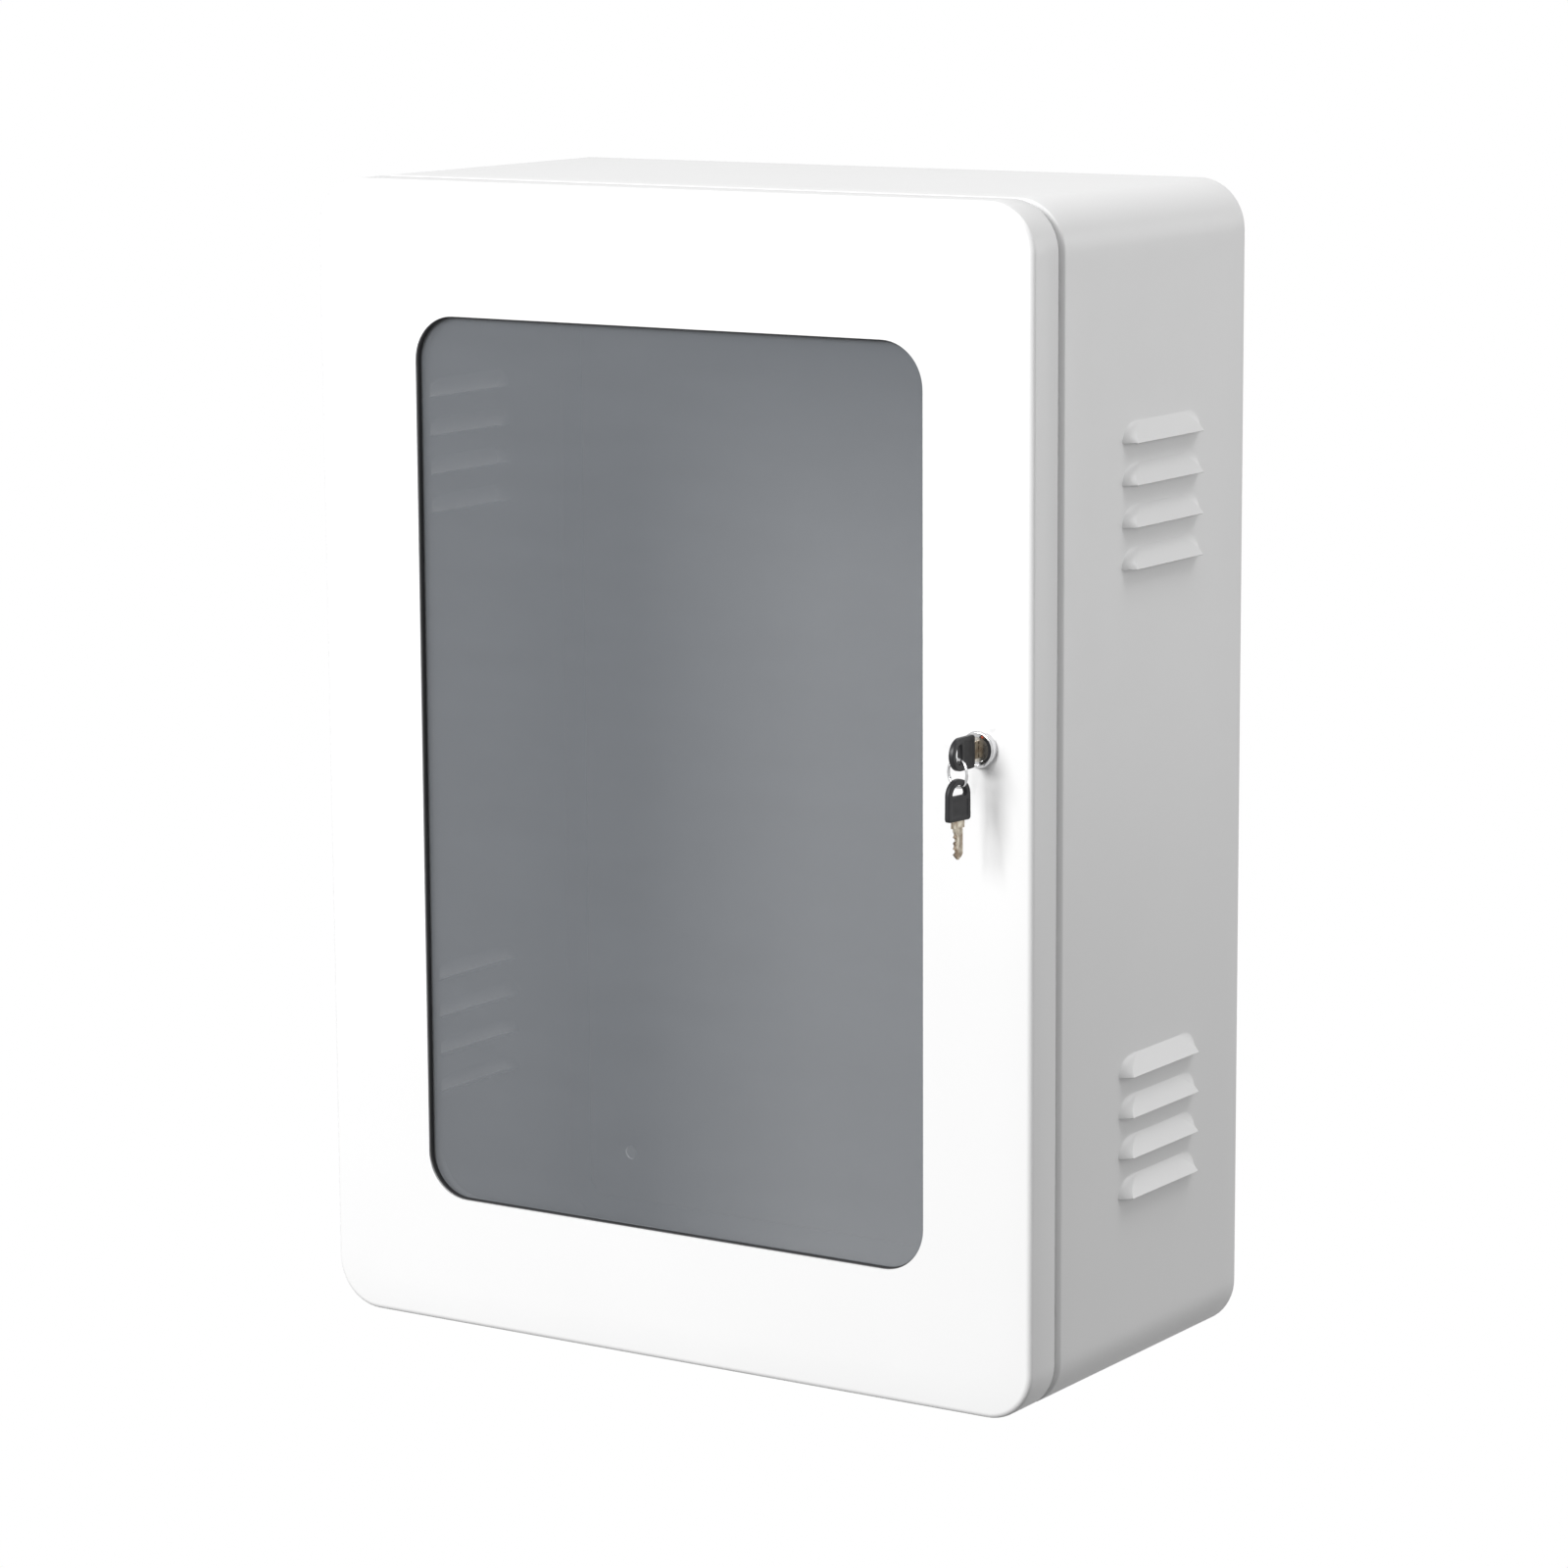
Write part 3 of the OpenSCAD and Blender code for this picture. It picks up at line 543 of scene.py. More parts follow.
def louvre_columns(size, shape, low_y, high_y):
    """Places along Y of the side wall's columns, row by row, and the share of the hood's height at each.

    The columns follow the hood's outline and its crease. The outline's end is a part of an ellipse, the
    crease a parabola, and between them the height grows evenly from nothing to that of the slanted face.
    """
    part = (shape / size.rise)[:, None]
    outline = size.end_round * (1 - np.sqrt(1 - np.square(0.952 * part)))
    crease = size.end_low + (size.end_high - size.end_low) * (0.21 * part + 0.79 * np.square(part))
    front, back = -size.from_wall - size.run / 2, -size.from_wall + size.run / 2
    margin = 0.003
    knots = np.concatenate([
        low_y + 0 * part, front + outline - margin, front + outline, front + crease,
        back - crease, back - outline, back - outline + margin, high_y + 0 * part], 1)
    end = [0, 0.08, 0.2, 0.4, 0.6, 0.8, 0.92]
    middle = [0, 0.015, 0.05, 0.15, 0.3, 0.5, 0.7, 0.85, 0.95, 0.985]
    stations = [[0, 0.35, 0.7], [0, 0.5], end, middle, end, [0, 0.5], [0, 0.3, 0.65, 1.0]]
    segment = np.concatenate([[k] * len(s) for k, s in enumerate(stations)])
    along = np.concatenate(stations)
    y = knots[:, segment] + along * (knots[:, segment + 1] - knots[:, segment])
    ends = np.select([segment == 2, segment == 3, segment == 4], [along, 1.0 + 0 * along, 1 - along], 0.0)
    return y, ends


class CABINET_OT_wrap(bpy.types.Operator):
    """Build the wrap: the sides, top and bottom in one folded sheet with pressed louvres"""
    bl_idname = "cabinet.wrap"
    bl_label = "Wrap"

    def execute(self, context):
        """The surface is the rounded outline, moved in by each column's lip or bend, carried along Y.

        On the side walls it is pushed out by the louvres: outwards by share * proud * (1 - rise / full rise).
        """
        sheet, size = context.scene.cabinet_sheets, context.scene.cabinet_louvres
        low, high = corners("body_wrap")
        outer = corners("door_skin")[1]
        half_w, half_h = outer[0], outer[2]
        height, shape, raised = louvre_rows(size, half_h)
        straight = half_h - sheet.corner
        height = np.concatenate([[-straight], height[np.abs(height) < straight - 1e-4], [straight]])
        shape, raised = np.pad(shape, 1)[:len(height)], np.pad(raised, 1)[:len(height)]
        wall_y, share = louvre_columns(size, shape, low[1] + sheet.bend, high[1] - sheet.bend)
        rest_y = louvre_columns(size, np.zeros(1), low[1] + sheet.bend, high[1] - sheet.bend)[0]
        out, along = bend_steps(sheet.bend)
        inset = np.concatenate([[-sheet.front_lip], out[:-1] - sheet.bend, np.zeros(wall_y.shape[1]),
                                out[:-1][::-1] - sheet.bend, [-sheet.rear_lip]])
        front_y = np.concatenate([[low[1]], low[1] + along[:-1]])
        back_y = np.concatenate([high[1] - along[:-1][::-1], [high[1]]])
        cols = np.linspace(-1, 1, 7) * (half_w - sheet.corner)
        x, z = rounded_outlines(half_w + inset, half_h + inset, sheet.corner + inset, 0.0, height, cols,
                                straight * 0.999, CORNER_POINTS)
        rows = len(height)
        count = x.shape[1]
        left = rows + len(cols) + 2 * CORNER_POINTS
        wall = slice(len(front_y), len(front_y) + wall_y.shape[1])
        y = np.repeat(np.concatenate([front_y, rest_y[0], back_y])[None, :], count, 0)
        push = np.zeros((count, len(inset)))
        rise = size.proud * (1 - shape / size.rise)
        hood = np.where(raised, rise, 0.0)[:, None] * share
        for start, sign, turn in ((0, 1, slice(None)), (left, -1, slice(None, None, -1))):
            y[start:start + rows, wall] = wall_y[turn]
            push[start:start + rows, wall] = sign * hood[turn]
        points = np.stack([x.T + push, y, z.T], -1).reshape(-1, 3)
        index = np.arange(len(points)).reshape(count, -1)
        slit = np.concatenate([np.diff(height) < 1e-7, [False]])
        quads = grid_faces(count, len(inset), loop_u=True)
        keep = np.ones(count, bool)
        for start, turn in ((0, slice(None)), (left, slice(None, None, -1))):
            inside = np.zeros(count, bool)
            flags = slit[:rows - 1][turn]
            inside[start:start + rows - 1] = flags
            keep &= ~inside
            for u in np.flatnonzero(inside):
                shut = np.abs(push[u]) + np.abs(push[u + 1]) < 1e-9
                index[u + 1, shut] = index[u, shut]
        quads = index.ravel()[quads[keep].reshape(-1, 4)]
        piece = new_piece("wrap_sheet", points, quads)
        thicken(piece, sheet.thickness, 18)
        finish_piece(piece, finishes()["cabinet_paint"], "cabinet", "cabinet_paint", "body_wrap")
        return {"FINISHED"}


class CABINET_OT_door(bpy.types.Operator):
    """Build the door's folded sheet with its window and lock cut-outs"""
    bl_idname = "cabinet.door"
    bl_label = "Door sheet"

    def execute(self, context):
        """The surface runs from the window's outline to the door's, round the bend, back along the side and
        in again as the return flange. Each column is one rounded outline, eased from the window's to the
        door's, and round the lock a patch of it is swapped for a collar that meets the flatted hole."""
        sheet, pane = context.scene.cabinet_sheets, context.scene.cabinet_window
        barrel = context.scene.cabinet_lock.barrel
        low, high = corners("door_skin")
        seal_low, seal_high = corners("window_gasket")
        lock_low, lock_high = corners("lock_body")
        hinge_z = sum(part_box("upper_hinge_arm")[k].z for k in (0, 1)) / 2
        lock = (lock_low + lock_high) / 2
        opening = seal_high - pane.cover
        window = [opening[0], (seal_high[2] - seal_low[2]) / 2 - pane.cover, pane.corner,
                  (seal_high[2] + seal_low[2]) / 2]
        edge = [high[0] - sheet.bend, high[2] - sheet.bend, sheet.corner - sheet.bend, 0.0]
        patch, cells = 0.012, 6
        lock_x = lock[0] + np.linspace(-patch, patch, cells + 1)
        share = np.concatenate([[0.0], (lock_x - window[0]) / (edge[0] - window[0])])
        face = [a + (b - a) * share for a, b in zip(window, edge)]
        out, along = bend_steps(sheet.bend)
        fold = np.concatenate([out, out[:-1][::-1], [sheet.bend - sheet.door_return]])
        fold_y = np.concatenate([low[1] + along, high[1] - along[:-1][::-1], [high[1]]])
        half_w = np.concatenate([face[0], edge[0] + fold])
        half_h = np.concatenate([face[1], edge[1] + fold])
        radius = np.concatenate([face[2], edge[2] + fold])
        mid_z = np.concatenate([face[3], 0 * fold])
        y = np.concatenate([low[1] + 0 * share, fold_y])
        straight = high[2] - sheet.corner
        notch = np.array([-1, 1]) * sheet.notch / 2
        rows = np.concatenate([lock[2] + np.linspace(-patch, patch, cells + 1), hinge_z + notch,
                               -hinge_z + notch, straight * np.array([-1, -0.45, -0.2, 0.0, 0.35, 0.5, 1])])
        rows = np.sort(rows)
        cols = np.linspace(-1, 1, 9) * (high[0] - sheet.corner)
        x, z = rounded_outlines(half_w, half_h, radius, mid_z, rows, cols, straight * 0.6, CORNER_POINTS)
        count = x.shape[1]
        points = np.stack([x.T, np.repeat(y[None, :], count, 0), z.T], -1).reshape(-1, 3)
        index = np.arange(len(points)).reshape(count, -1)
        quads = grid_faces(count, len(y), loop_u=True)
        keep = np.ones(quads.shape[:2], bool)
        left = len(rows) + len(cols) + 2 * CORNER_POINTS
        mid = (rows[:-1] + rows[1:]) / 2
        notched = np.abs(np.abs(mid) - hinge_z) < sheet.notch / 2
        keep[left:left + len(rows) - 1, -1] = ~notched[::-1]
        first = int(np.argmin(np.abs(rows - (lock[2] - patch))))
        keep[first:first + cells, 1:1 + cells] = False
        block = index[first:first + cells + 1, 1:2 + cells]
        border = np.concatenate([block[0, :-1], block[:-1, -1], block[-1, :0:-1], block[:0:-1, 0]])
        way = points[border] - lock * [1, 0, 1]
        ring = np.arctan2(way[:, 2], way[:, 0])
        hole = np.stack([lock[0] + barrel * np.cos(ring), 0 * ring + low[1],
                         lock[2] + barrel * np.sin(ring)], -1)
        flat = context.scene.cabinet_lock.flat
        hole[:, 0] = np.clip(hole[:, 0], lock[0] - flat, lock[0] + flat)
        inner = len(points) + np.arange(len(border))
        points = np.concatenate([points, hole])
        collar = np.stack([border, inner, np.roll(inner, -1), np.roll(border, -1)], -1)
        piece = new_piece("door_sheet", points, np.concatenate([quads[keep], collar]))
        thicken(piece, sheet.thickness, 35)
        finish_piece(piece, finishes()["door_paint"], "door", "door_paint", "door_skin")
        return {"FINISHED"}


class CABINET_OT_seal(bpy.types.Operator):
    """Build the window's rubber seal"""
    bl_idname = "cabinet.seal"
    bl_label = "Window seal"

    def execute(self, context):
        """A flat strip with a half-round inner edge, carried round the window's rounded outline."""
        pane = context.scene.cabinet_window
        low, high = corners("window_gasket")
        mid_z, half_t = (low[2] + high[2]) / 2, (high[1] - low[1]) / 2
        half_w, half_h = high[0] - pane.cover, (high[2] - low[2]) / 2 - pane.cover
        bead = half_t * pane.bead
        turn = np.linspace(-np.pi / 2, np.pi / 2, 9)
        near = bead - pane.shown - bead * np.cos(turn)
        y = low[1] + half_t + (half_t - bead) * np.sign(turn) + bead * np.sin(turn)
        offset = np.concatenate([[pane.cover], near, [pane.cover]])
        depth = np.concatenate([[low[1]], y, [high[1]]])
        cols = np.linspace(-1, 1, 9) * half_w * 0.7
        rows = np.linspace(-1, 1, 13) * half_h * 0.7
        x, z = rounded_outlines(half_w + offset, half_h + offset, pane.corner + offset, mid_z, rows, cols,
                                0.05, 14)
        points = np.stack([x.T, np.repeat(depth[None, :], x.shape[1], 0), z.T], -1)
        piece = smooth(tube("window_seal", points, close_ends=False))
        finish_piece(piece, finishes()["gasket_rubber"], "door", "gasket_rubber", "window_gasket")
        return {"FINISHED"}


# ---- Lock ----

class CABINET_OT_lock(bpy.types.Operator):
    """Build the lock's bezel and threaded barrel"""
    bl_idname = "cabinet.lock"
    bl_label = "Lock barrel"

    def execute(self, context):
        """A closed profile turned about the lock's axis. On the barrel the radius falls and rises as
        pitch waves whose phase turns with the angle, which cuts a thread, and the flats clip it across X."""
        size = context.scene.cabinet_lock
        low, high = corners("lock_body")
        door_y = corners("door_skin")[0][1]
        centre = (low + high) / 2
        centre[1] = 0.0
        face = low[1]
        ease, neck, thread_depth = 0.0002, 0.002, 0.00045
        thread_start, thread_end = 0.0022, 0.0012
        rounding = np.linspace(0, np.pi / 2, 9)
        rim_r = size.rim - size.rim_round * (1 - np.sin(rounding))
        rim_y = face + size.rim_round * (1 - np.cos(rounding))
        thread_y = np.arange(door_y + thread_start, high[1] - thread_end, size.thread / 6)
        profile = np.concatenate([
            [[size.plug_head, face + size.plug_seat], [size.plug_head, face + 0.0003],
             [size.plug_head + ease, face + size.face_drop],
             [size.rim - size.rim_round - 0.0005, face + size.face_drop],
             [size.rim - size.rim_round - ease, face]],
            np.stack([rim_r, rim_y], 1),
            [[size.rim, door_y - ease], [size.rim - ease, door_y], [size.barrel, door_y],
             [size.barrel, door_y + neck]],
            np.stack([size.barrel + 0 * thread_y, thread_y], 1),
            [[size.barrel - 0.0003, high[1] - 0.0006], [size.barrel - 0.0009, high[1]], [size.plug, high[1]],
             [size.plug, face + size.plug_seat]]])
        points, turn = revolve(profile, centre, 96)
        on_thread = ((profile[:, 1] >= thread_y[0]) & (profile[:, 1] <= thread_y[-1])
                     & (profile[:, 0] > size.plug + 0.001))
        phase = profile[:, 1] / size.thread - turn / (2 * np.pi)
        cut = np.where(on_thread, thread_depth * np.abs(2 * (phase - np.floor(phase)) - 1), 0.0)
        away = points - centre * [1, 0, 1] - points * [0, 1, 0]
        reach = np.linalg.norm(away, axis=-1, keepdims=True)
        points = points - away / reach * cut[..., None]
        behind = points[..., 1] > door_y + 0.0001
        outside = behind & (profile[:, 0] > size.plug + 0.0005)
        clipped = np.clip(points[..., 0], centre[0] - size.flat, centre[0] + size.flat)
        points[..., 0] = np.where(outside, clipped, points[..., 0])
        piece = smooth(tube("lock_barrel", points, close_ends=False), math.radians(40))
        finish_piece(piece, finishes()["lock_chrome"], "door", "lock_chrome", "lock_body")
        return {"FINISHED"}


# ---- Keys ----

def reach_at(outline, centre, turns):
    """Distance from a centre to a closed outline in each direction, for an outline seen whole from there."""
    way = outline - centre
    turn = np.arctan2(way[:, 1], way[:, 0])
    order = np.argsort(turn)
    return np.interp(turns, turn[order], np.hypot(way[:, 0], way[:, 1])[order], period=2 * np.pi)


def arc(centre, radius, start, end, count=40):
    """Points on an arc between two angles in degrees."""
    turn = np.radians(np.linspace(start, end, count))
    return np.stack([centre[0] + radius * np.cos(turn), centre[1] + radius * np.sin(turn)], 1)


def dense(corner_points, steps=60):
    """A closed polygon's sides cut into short steps."""
    step = np.linspace(0, 1, steps, endpoint=False)[None, :, None]
    start = corner_points[:, None, :]
    return (start + (np.roll(corner_points, -1, 0)[:, None, :] - start) * step).reshape(-1, 2)


def key_head(name, size, extent, place, body, node):
    """Moulded key head as a ring-shaped shell between its outline and its half-round hole.

    In each direction from the hole's middle, a rounded section spans the distance from the hole to the
    outline. Both faces are crowned by a cosine across their width, and sink a little over a panel between the
    hole and the blade.
    """
    head_l, head_w, head_t = extent
    foot, far = -size.shoulder, -size.shoulder - head_l
    bow = far + head_w / 2
    fillet = 0.0016
    outline = dense(np.concatenate([
        arc((foot - fillet, head_w / 2 - fillet), fillet, 0, 90, 10),
        arc((bow, 0), head_w / 2, 90, 270, 60),
        arc((foot - fillet, fillet - head_w / 2), fillet, -90, 0, 10)]), 40)
    hole_fillet = 0.0012
    hole = dense(np.concatenate([
        arc((bow, 0), size.hole, 97, 263, 40),
        arc((bow - hole_fillet, hole_fillet - size.hole + 0.0002), hole_fillet, -80, 0, 8),
        arc((bow - hole_fillet, size.hole - 0.0002 - hole_fillet), hole_fillet, 0, 80, 8)]), 40)
    centre = np.array([bow - size.hole * 0.42, 0.0])
    turns = np.linspace(-np.pi, np.pi, 220, endpoint=False)
    near, wide = reach_at(hole, centre, turns)[:, None], reach_at(outline, centre, turns)[:, None]
    half, edge = head_t / 2, size.edge
    bend = np.linspace(0, np.pi / 2, 6)
    across = np.linspace(0, 1, 26)
    rim_out = [(1, edge * np.sin(t) - edge, half - edge + edge * np.cos(t)) for t in bend]
    rim_in = [(0, edge - edge * np.sin(t), half - edge + edge * np.cos(t)) for t in bend]
    face = np.stack([across[1:-1], edge * (1 - 2 * across[1:-1]), half + 0 * across[1:-1]], 1)
    upper = np.concatenate([rim_in[::-1], face, rim_out])
    section = np.concatenate([upper, upper[::-1] * [1, 1, -1]])
    far_along = near + (wide - near) * section[:, 0] + section[:, 1]
    p = centre[0] + far_along * np.cos(turns)[:, None]
    q = far_along * np.sin(turns)[:, None]
    margin, below_hole, soft, crown = 0.0028, 0.0022, 0.0006, 0.00018
    panel_foot, panel_top, panel_side = foot - margin, bow + below_hole, head_w / 2 - margin
    inside = np.minimum(np.minimum(panel_foot - p, p - panel_top), panel_side - np.abs(q))
    sunk = np.clip(inside / soft + 0.5, 0, 1) * size.panel
    swell = crown * np.cos(np.pi * np.clip(q / head_w, -0.5, 0.5))
    flat = np.abs(section[:, 2]) > half - edge * 0.5
    t = section[:, 2] + np.sign(section[:, 2]) * np.where(flat, swell - crown - sunk, 0.0)
    piece = smooth(tube(name, place(np.stack([p, q, t], -1)), close_ends=False), math.radians(50))
    finish_piece(piece, finishes()["key_plastic"], body, "key_plastic", node)


def key_blade(name, size, place, body, node):
    """Cut key blade: a section of the blade's thickness carried along it, between a straight upper edge and a
    lower edge with four cuts. A groove runs along each face, and the outer edges are eased."""
    tip, taper, cut = size.blade, 0.003, 0.0016
    groove_depth, groove_half, groove_slope, eased = 0.00042, 0.0007, 0.0003, 0.0003
    pitch = (size.blade - taper - 0.002) / 4
    p = np.unique(np.concatenate([np.linspace(-size.shoulder - 0.005, 0, 12), [0.00001, 0.0002],
                                  np.linspace(0.0002, tip - taper, 120), np.linspace(tip - taper, tip, 14)]))
    half = np.interp(p, [-1, 0, 0.00001, tip - taper, tip - 0.0004, tip],
                     [size.shoulder_width / 2] * 2 + [size.blade_width / 2] * 2
                     + [size.blade_width / 6, size.blade_width / 7])
    place_in = np.clip((p - 0.002) / pitch, 0, 3.999)
    deep = cut * (0.5 + 0.5 * (np.floor(place_in) % 2))
    notch = np.clip((0.5 - np.abs(place_in - np.floor(place_in) - 0.5)) / 0.3, 0, 1) * deep
    notch = np.where((p > 0.002) & (p < 0.002 + 4 * pitch), notch, 0.0)
    low, high = -half + notch, half
    ends = np.concatenate([[0, 0.02, 0.05], np.linspace(0.09, 0.91, 26), [0.95, 0.98, 1]])
    q = low[:, None] + (high - low)[:, None] * ends
    to_edge = np.minimum(q - low[:, None], high[:, None] - q)
    ease = np.clip(eased - to_edge, 0, None)
    on_blade = np.clip((p - 0.0001) / 0.0006, 0, 1)[:, None]
    halves = []
    for side, at in ((1, 0.0009), (-1, -0.0011)):
        groove = groove_depth * np.clip((groove_half - np.abs(q - at)) / groove_slope, 0, 1) * on_blade
        halves.append(side * (size.blade_thickness / 2 - ease - groove))
    section_q = np.concatenate([q, q[:, ::-1]], 1)
    section_t = np.concatenate([halves[0], halves[1][:, ::-1]], 1)
    along = p[:, None] + 0 * section_q
    piece = smooth(tube(name, place(np.stack([along, section_q, section_t], -1))), math.radians(40))
    finish_piece(piece, finishes()["key_metal"], body, "key_metal", node)


def key_places(size):
    """The size of a key's head, and by body a function that puts (along, across, through) in place.

    The key in the lock points along +Y with its width along Z. The spare points down, with its width turned a
    little from Y.
    """
    head_low, head_high = corners("key_head")
    spare_low, spare_high = corners("spare_key_head")
    head_l = head_high[1] - head_low[1]
    middle = (head_low + head_high) / 2
    stop = head_high[1] + size.shoulder
    turn = size.spare_turn
    width_way = np.array([-math.sin(turn), math.cos(turn), 0.0])
    face_way = np.array([math.cos(turn), math.sin(turn), 0.0])
    spare_middle = (spare_low + spare_high) / 2

    def in_lock(c):
        return np.stack([middle[0] + c[..., 2], stop + c[..., 0], middle[2] + c[..., 1]], -1)

    def hanging(c):
        down = np.array([0.0, 0.0, spare_high[2]]) - np.array([0.0, 0.0, 1.0]) * (
            c[..., :1] + size.shoulder + head_l)
        return down + spare_middle * [1, 1, 0] + c[..., 1:2] * width_way + c[..., 2:] * face_way

    extent = (head_l, head_high[2] - head_low[2], head_high[0] - head_low[0])
    return extent, {"key": in_lock, "spare_key": hanging}


class CABINET_OT_keys(bpy.types.Operator):
    """Build both keys: moulded heads and cut blades"""
    bl_idname = "cabinet.keys"
    bl_label = "Keys"

    def execute(self, context):
        """Each key is its head's shell and its blade, put in place by the same function."""
        size = context.scene.cabinet_keys
        extent, places = key_places(size)
        for body, place in places.items():
            key_head(f"{body}_grip", size, extent, place, body, f"{body}_head")
            key_blade(f"{body}_shank", size, place, body, f"{body}_blade")
        return {"FINISHED"}


class CABINET_OT_ring(bpy.types.Operator):
    """Build the split ring that carries the spare key"""
    bl_idname = "cabinet.ring"
    bl_label = "Split ring"

    def execute(self, context):
        """Two turns of flattened wire: a rounded section carried round a circle, which steps from one side of
        the ring to the other on the way between its turns."""
        low, high = corners("split_ring")
        axis = np.array(next(j["axis"] for j in frame["joints"] if j["name"] == "ring_swing"), float)
        up = np.array([0.0, 0.0, 1.0])
        through = np.cross(up, axis)
        centre = (low + high) / 2
        wire = context.scene.cabinet_keys.wire
        radius = (high[2] - low[2]) / 2 - wire
        turn = np.linspace(0.06, 4 * np.pi - 0.06, 260)[:, None] + np.pi * 0.8
        share = np.clip((turn - turn[0] - 1.75 * np.pi) / (0.5 * np.pi), 0, 1)
        side = (share * share * (3 - 2 * share) - 0.5) * wire
        around = np.linspace(0, 2 * np.pi, 14, endpoint=False)
        out, deep = (wire * half * np.sign(wave) * np.abs(wave) ** 0.6
                     for half, wave in ((0.92, np.cos(around)), (0.46, np.sin(around))))
        way = np.cos(turn)[..., None] * axis + np.sin(turn)[..., None] * up
        points = centre + way * (radius + out)[..., None] + (side + deep)[..., None] * through
        piece = smooth(tube("ring_coil", points), math.radians(50))
        finish_piece(piece, finishes()["lock_chrome"], "key_ring", "lock_chrome", "split_ring")
        return {"FINISHED"}


class CABINET_OT_finish(bpy.types.Operator):
    """Give the CAD parts that stay in view their finishes"""
    bl_idname = "cabinet.finish"
    bl_label = "Finishes"

    def execute(self, context):
        for node in frame["nodes"].values():
            for holder in node.material_slots:
                slot = holder.material.name.split(".")[0]
                if slot not in finishes():
                    raise ValueError(f"{node.name} has an unknown slot {slot}")
                holder.material = finishes()[slot]
        return {"FINISHED"}


# ---- Stage ----

def area_light(name, place, target, width, power):
    """A square soft light that faces its target."""
    lamp = bpy.data.lights.new(name, "AREA")
    lamp.shape, lamp.size, lamp.energy = "SQUARE", width, power
    holder = bpy.data.objects.new(name, lamp)
    holder.location = place
    holder.rotation_euler = (Vector(target) - Vector(place)).to_track_quat("-Z", "Y").to_euler()
    bpy.context.scene.collection.objects.link(holder)


def seen_directly(start):
    """One where the camera sees the studio with no glass between, and less where it is seen mirrored."""
    camera = start.add("ShaderNodeLightPath", out="Is Camera Ray")
    panes = start.add("ShaderNodeLightPath", out="Transparent Depth")
    mirrored = start.add("ShaderNodeLightPath", out="Is Glossy Ray")
    return start.math("MAXIMUM", camera * start.math("LESS_THAN", panes, 0.5), mirrored * 0.6)


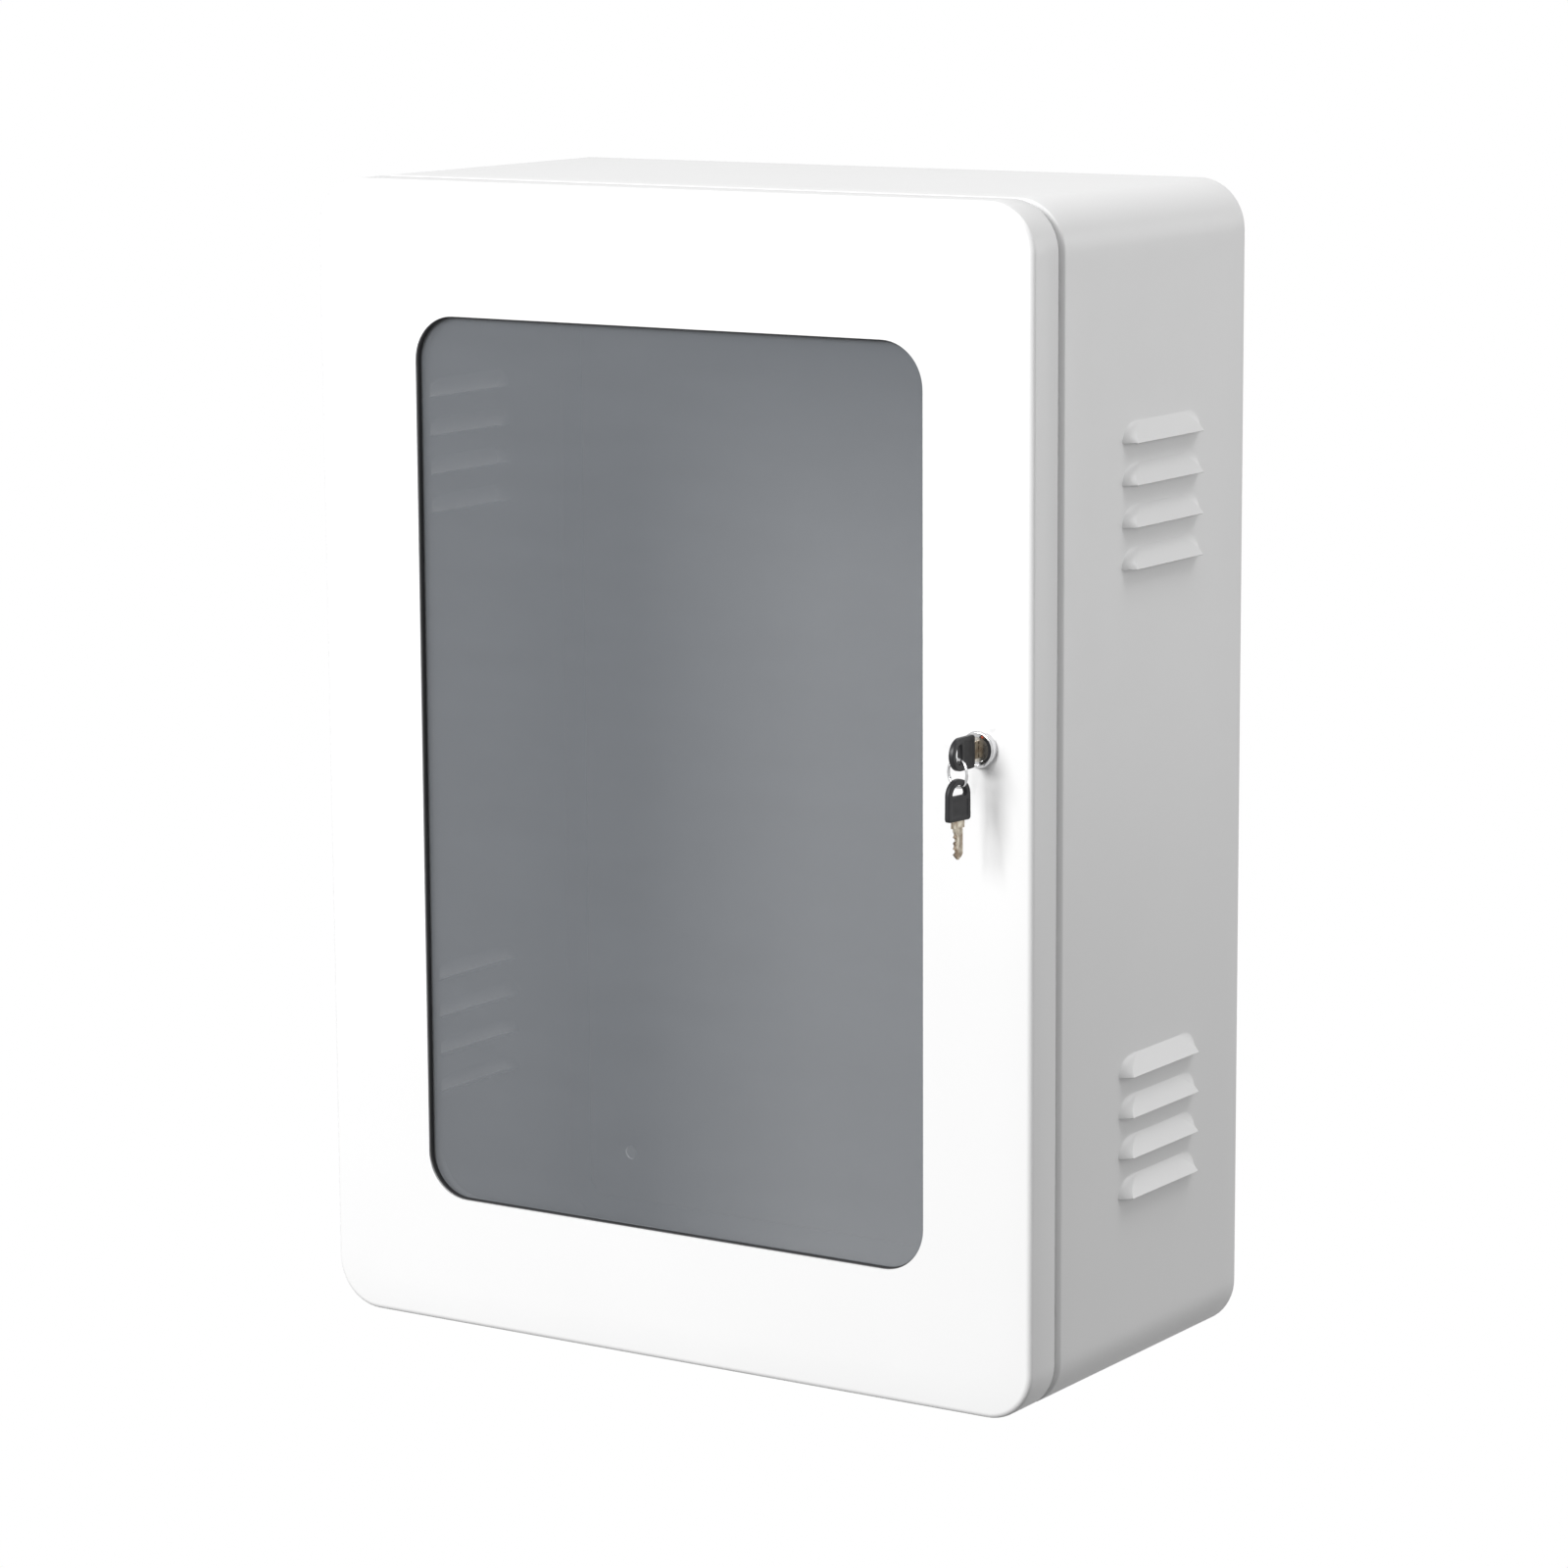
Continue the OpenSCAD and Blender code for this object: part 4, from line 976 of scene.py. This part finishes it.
class CABINET_OT_stage(bpy.types.Operator):
    """Set the floor, the soft lights, the sky and the camera"""
    bl_idname = "cabinet.stage"
    bl_label = "Stage"

    def execute(self, context):
        stage, scene = context.scene.cabinet_stage, context.scene
        low, high = (np.array(c) for c in CAD_BOX)
        reach = 12.0
        u = np.linspace(-reach, reach, 5)
        spots = np.stack(np.meshgrid(u, u, indexing="ij"), -1).reshape(-1, 2)
        points = np.concatenate([spots, np.full((len(spots), 1), low[2] - stage.floor_drop)], 1)
        floor = new_piece("floor", points, grid_faces(5, 5).reshape(-1, 4)[:, ::-1])
        pale = material("pale_floor", lambda place: {
            "Base Color": place.noise(0.6, 2.0).ramp((0.3, (0.08, 0.08, 0.08)), (0.7, (0.09, 0.09, 0.09)))},
            {"Roughness": 0.9})
        start = Socket(pale.node_tree)
        seen = seen_directly(start)
        white = start.add("ShaderNodeEmission", {"Color": (1.0, 1.0, 1.0), "Strength": 1.0})
        dull = Socket(pale.node_tree, pale.node_tree.nodes["Principled BSDF"].outputs[0])
        shown = start.add("ShaderNodeMixShader", {0: seen, 1: dull, 2: white})
        pale.node_tree.links.new(shown.socket, pale.node_tree.nodes["Material Output"].inputs["Surface"])
        floor.data.materials.append(pale)

        door = corners("door_skin")
        middle = Vector((0.0, float(door[0][1]), 0.0))
        area_light("front_light", (-0.9, -3.8, 1.7), middle, 2.0, stage.key)
        area_light("side_light", (2.6, 2.4, 0.3), (0.25, -0.1, 0.0), 2.0, stage.fill)
        area_light("top_light", (1.5, 0.5, 2.8), (0.0, -0.1, 0.0), 1.6, stage.overhead)

        world = bpy.data.worlds.new("pale_studio")
        scene.world = world
        world.use_nodes = True
        tree = world.node_tree
        tree.nodes.clear()
        start = Socket(tree)
        seen = seen_directly(start)
        lit = start.add("ShaderNodeBackground", {"Color": (1.0, 1.0, 1.0), "Strength": stage.sky})
        plain = start.add("ShaderNodeBackground", {"Color": (1.0, 1.0, 1.0), "Strength": 1.0})
        both = start.add("ShaderNodeMixShader", {0: seen, 1: lit, 2: plain})
        output = tree.nodes.new("ShaderNodeOutputWorld")
        tree.links.new(both.socket, output.inputs["Surface"])

        aim = middle + Vector((stage.aim_right, 0.0, stage.aim_up))
        az, el, roll = stage.azimuth, stage.elevation, stage.roll
        back = Vector((math.sin(az) * math.cos(el), -math.cos(az) * math.cos(el), math.sin(el)))
        right = Vector((math.cos(az), math.sin(az), 0.0))
        up = back.cross(right)
        turned = Matrix((right * math.cos(roll) + up * math.sin(roll),
                         up * math.cos(roll) - right * math.sin(roll), back)).transposed()
        lens = bpy.data.cameras.new("view")
        lens.lens, lens.sensor_width, lens.clip_start, lens.clip_end = stage.lens, 36.0, 0.05, 60.0
        camera = bpy.data.objects.new("view", lens)
        camera.matrix_world = Matrix.Translation(aim + back * stage.distance) @ turned.to_4x4()
        scene.collection.objects.link(camera)
        scene.camera = camera
        scene.view_settings.view_transform = "Standard"
        return {"FINISHED"}


class CABINET_PT_panel(bpy.types.Panel):
    """Shows the cabinet's sizes, colours and stage settings, and a button for each building step"""
    bl_idname = "CABINET_PT_panel"
    bl_label = "Glazed wall cabinet"
    bl_space_type = "VIEW_3D"
    bl_region_type = "UI"
    bl_category = "Cabinet"

    def draw(self, context):
        for group in GROUPS:
            box = self.layout.box()
            box.label(text=group.replace("cabinet_", "").capitalize())
            settings = getattr(context.scene, group)
            for name in GROUPS[group].__annotations__:
                box.prop(settings, name)
        for operator in OPERATORS:
            self.layout.operator(operator.bl_idname)


GROUPS = {
    "cabinet_sheets": CabinetSheetSizes,
    "cabinet_louvres": CabinetLouvreSizes,
    "cabinet_window": CabinetWindowSizes,
    "cabinet_lock": CabinetLockSizes,
    "cabinet_keys": CabinetKeySizes,
    "cabinet_finishes": CabinetFinishes,
    "cabinet_stage": CabinetStage,
}
OPERATORS = (CABINET_OT_wrap, CABINET_OT_door, CABINET_OT_seal, CABINET_OT_lock, CABINET_OT_keys,
             CABINET_OT_ring, CABINET_OT_finish, CABINET_OT_stage)


def register():
    for item in (*GROUPS.values(), *OPERATORS, CABINET_PT_panel):
        bpy.utils.register_class(item)
    for name, group in GROUPS.items():
        setattr(bpy.types.Scene, name, bpy.props.PointerProperty(type=group))


def unregister():
    for name in GROUPS:
        delattr(bpy.types.Scene, name)
    for item in reversed((*GROUPS.values(), *OPERATORS, CABINET_PT_panel)):
        bpy.utils.unregister_class(item)


def main():
    register()
    bpy.ops.cabinet.wrap()
    bpy.ops.cabinet.door()
    bpy.ops.cabinet.seal()
    bpy.ops.cabinet.lock()
    bpy.ops.cabinet.keys()
    bpy.ops.cabinet.ring()
    bpy.ops.cabinet.finish()
    bpy.ops.cabinet.stage()


if __name__ == "__main__":
    main()
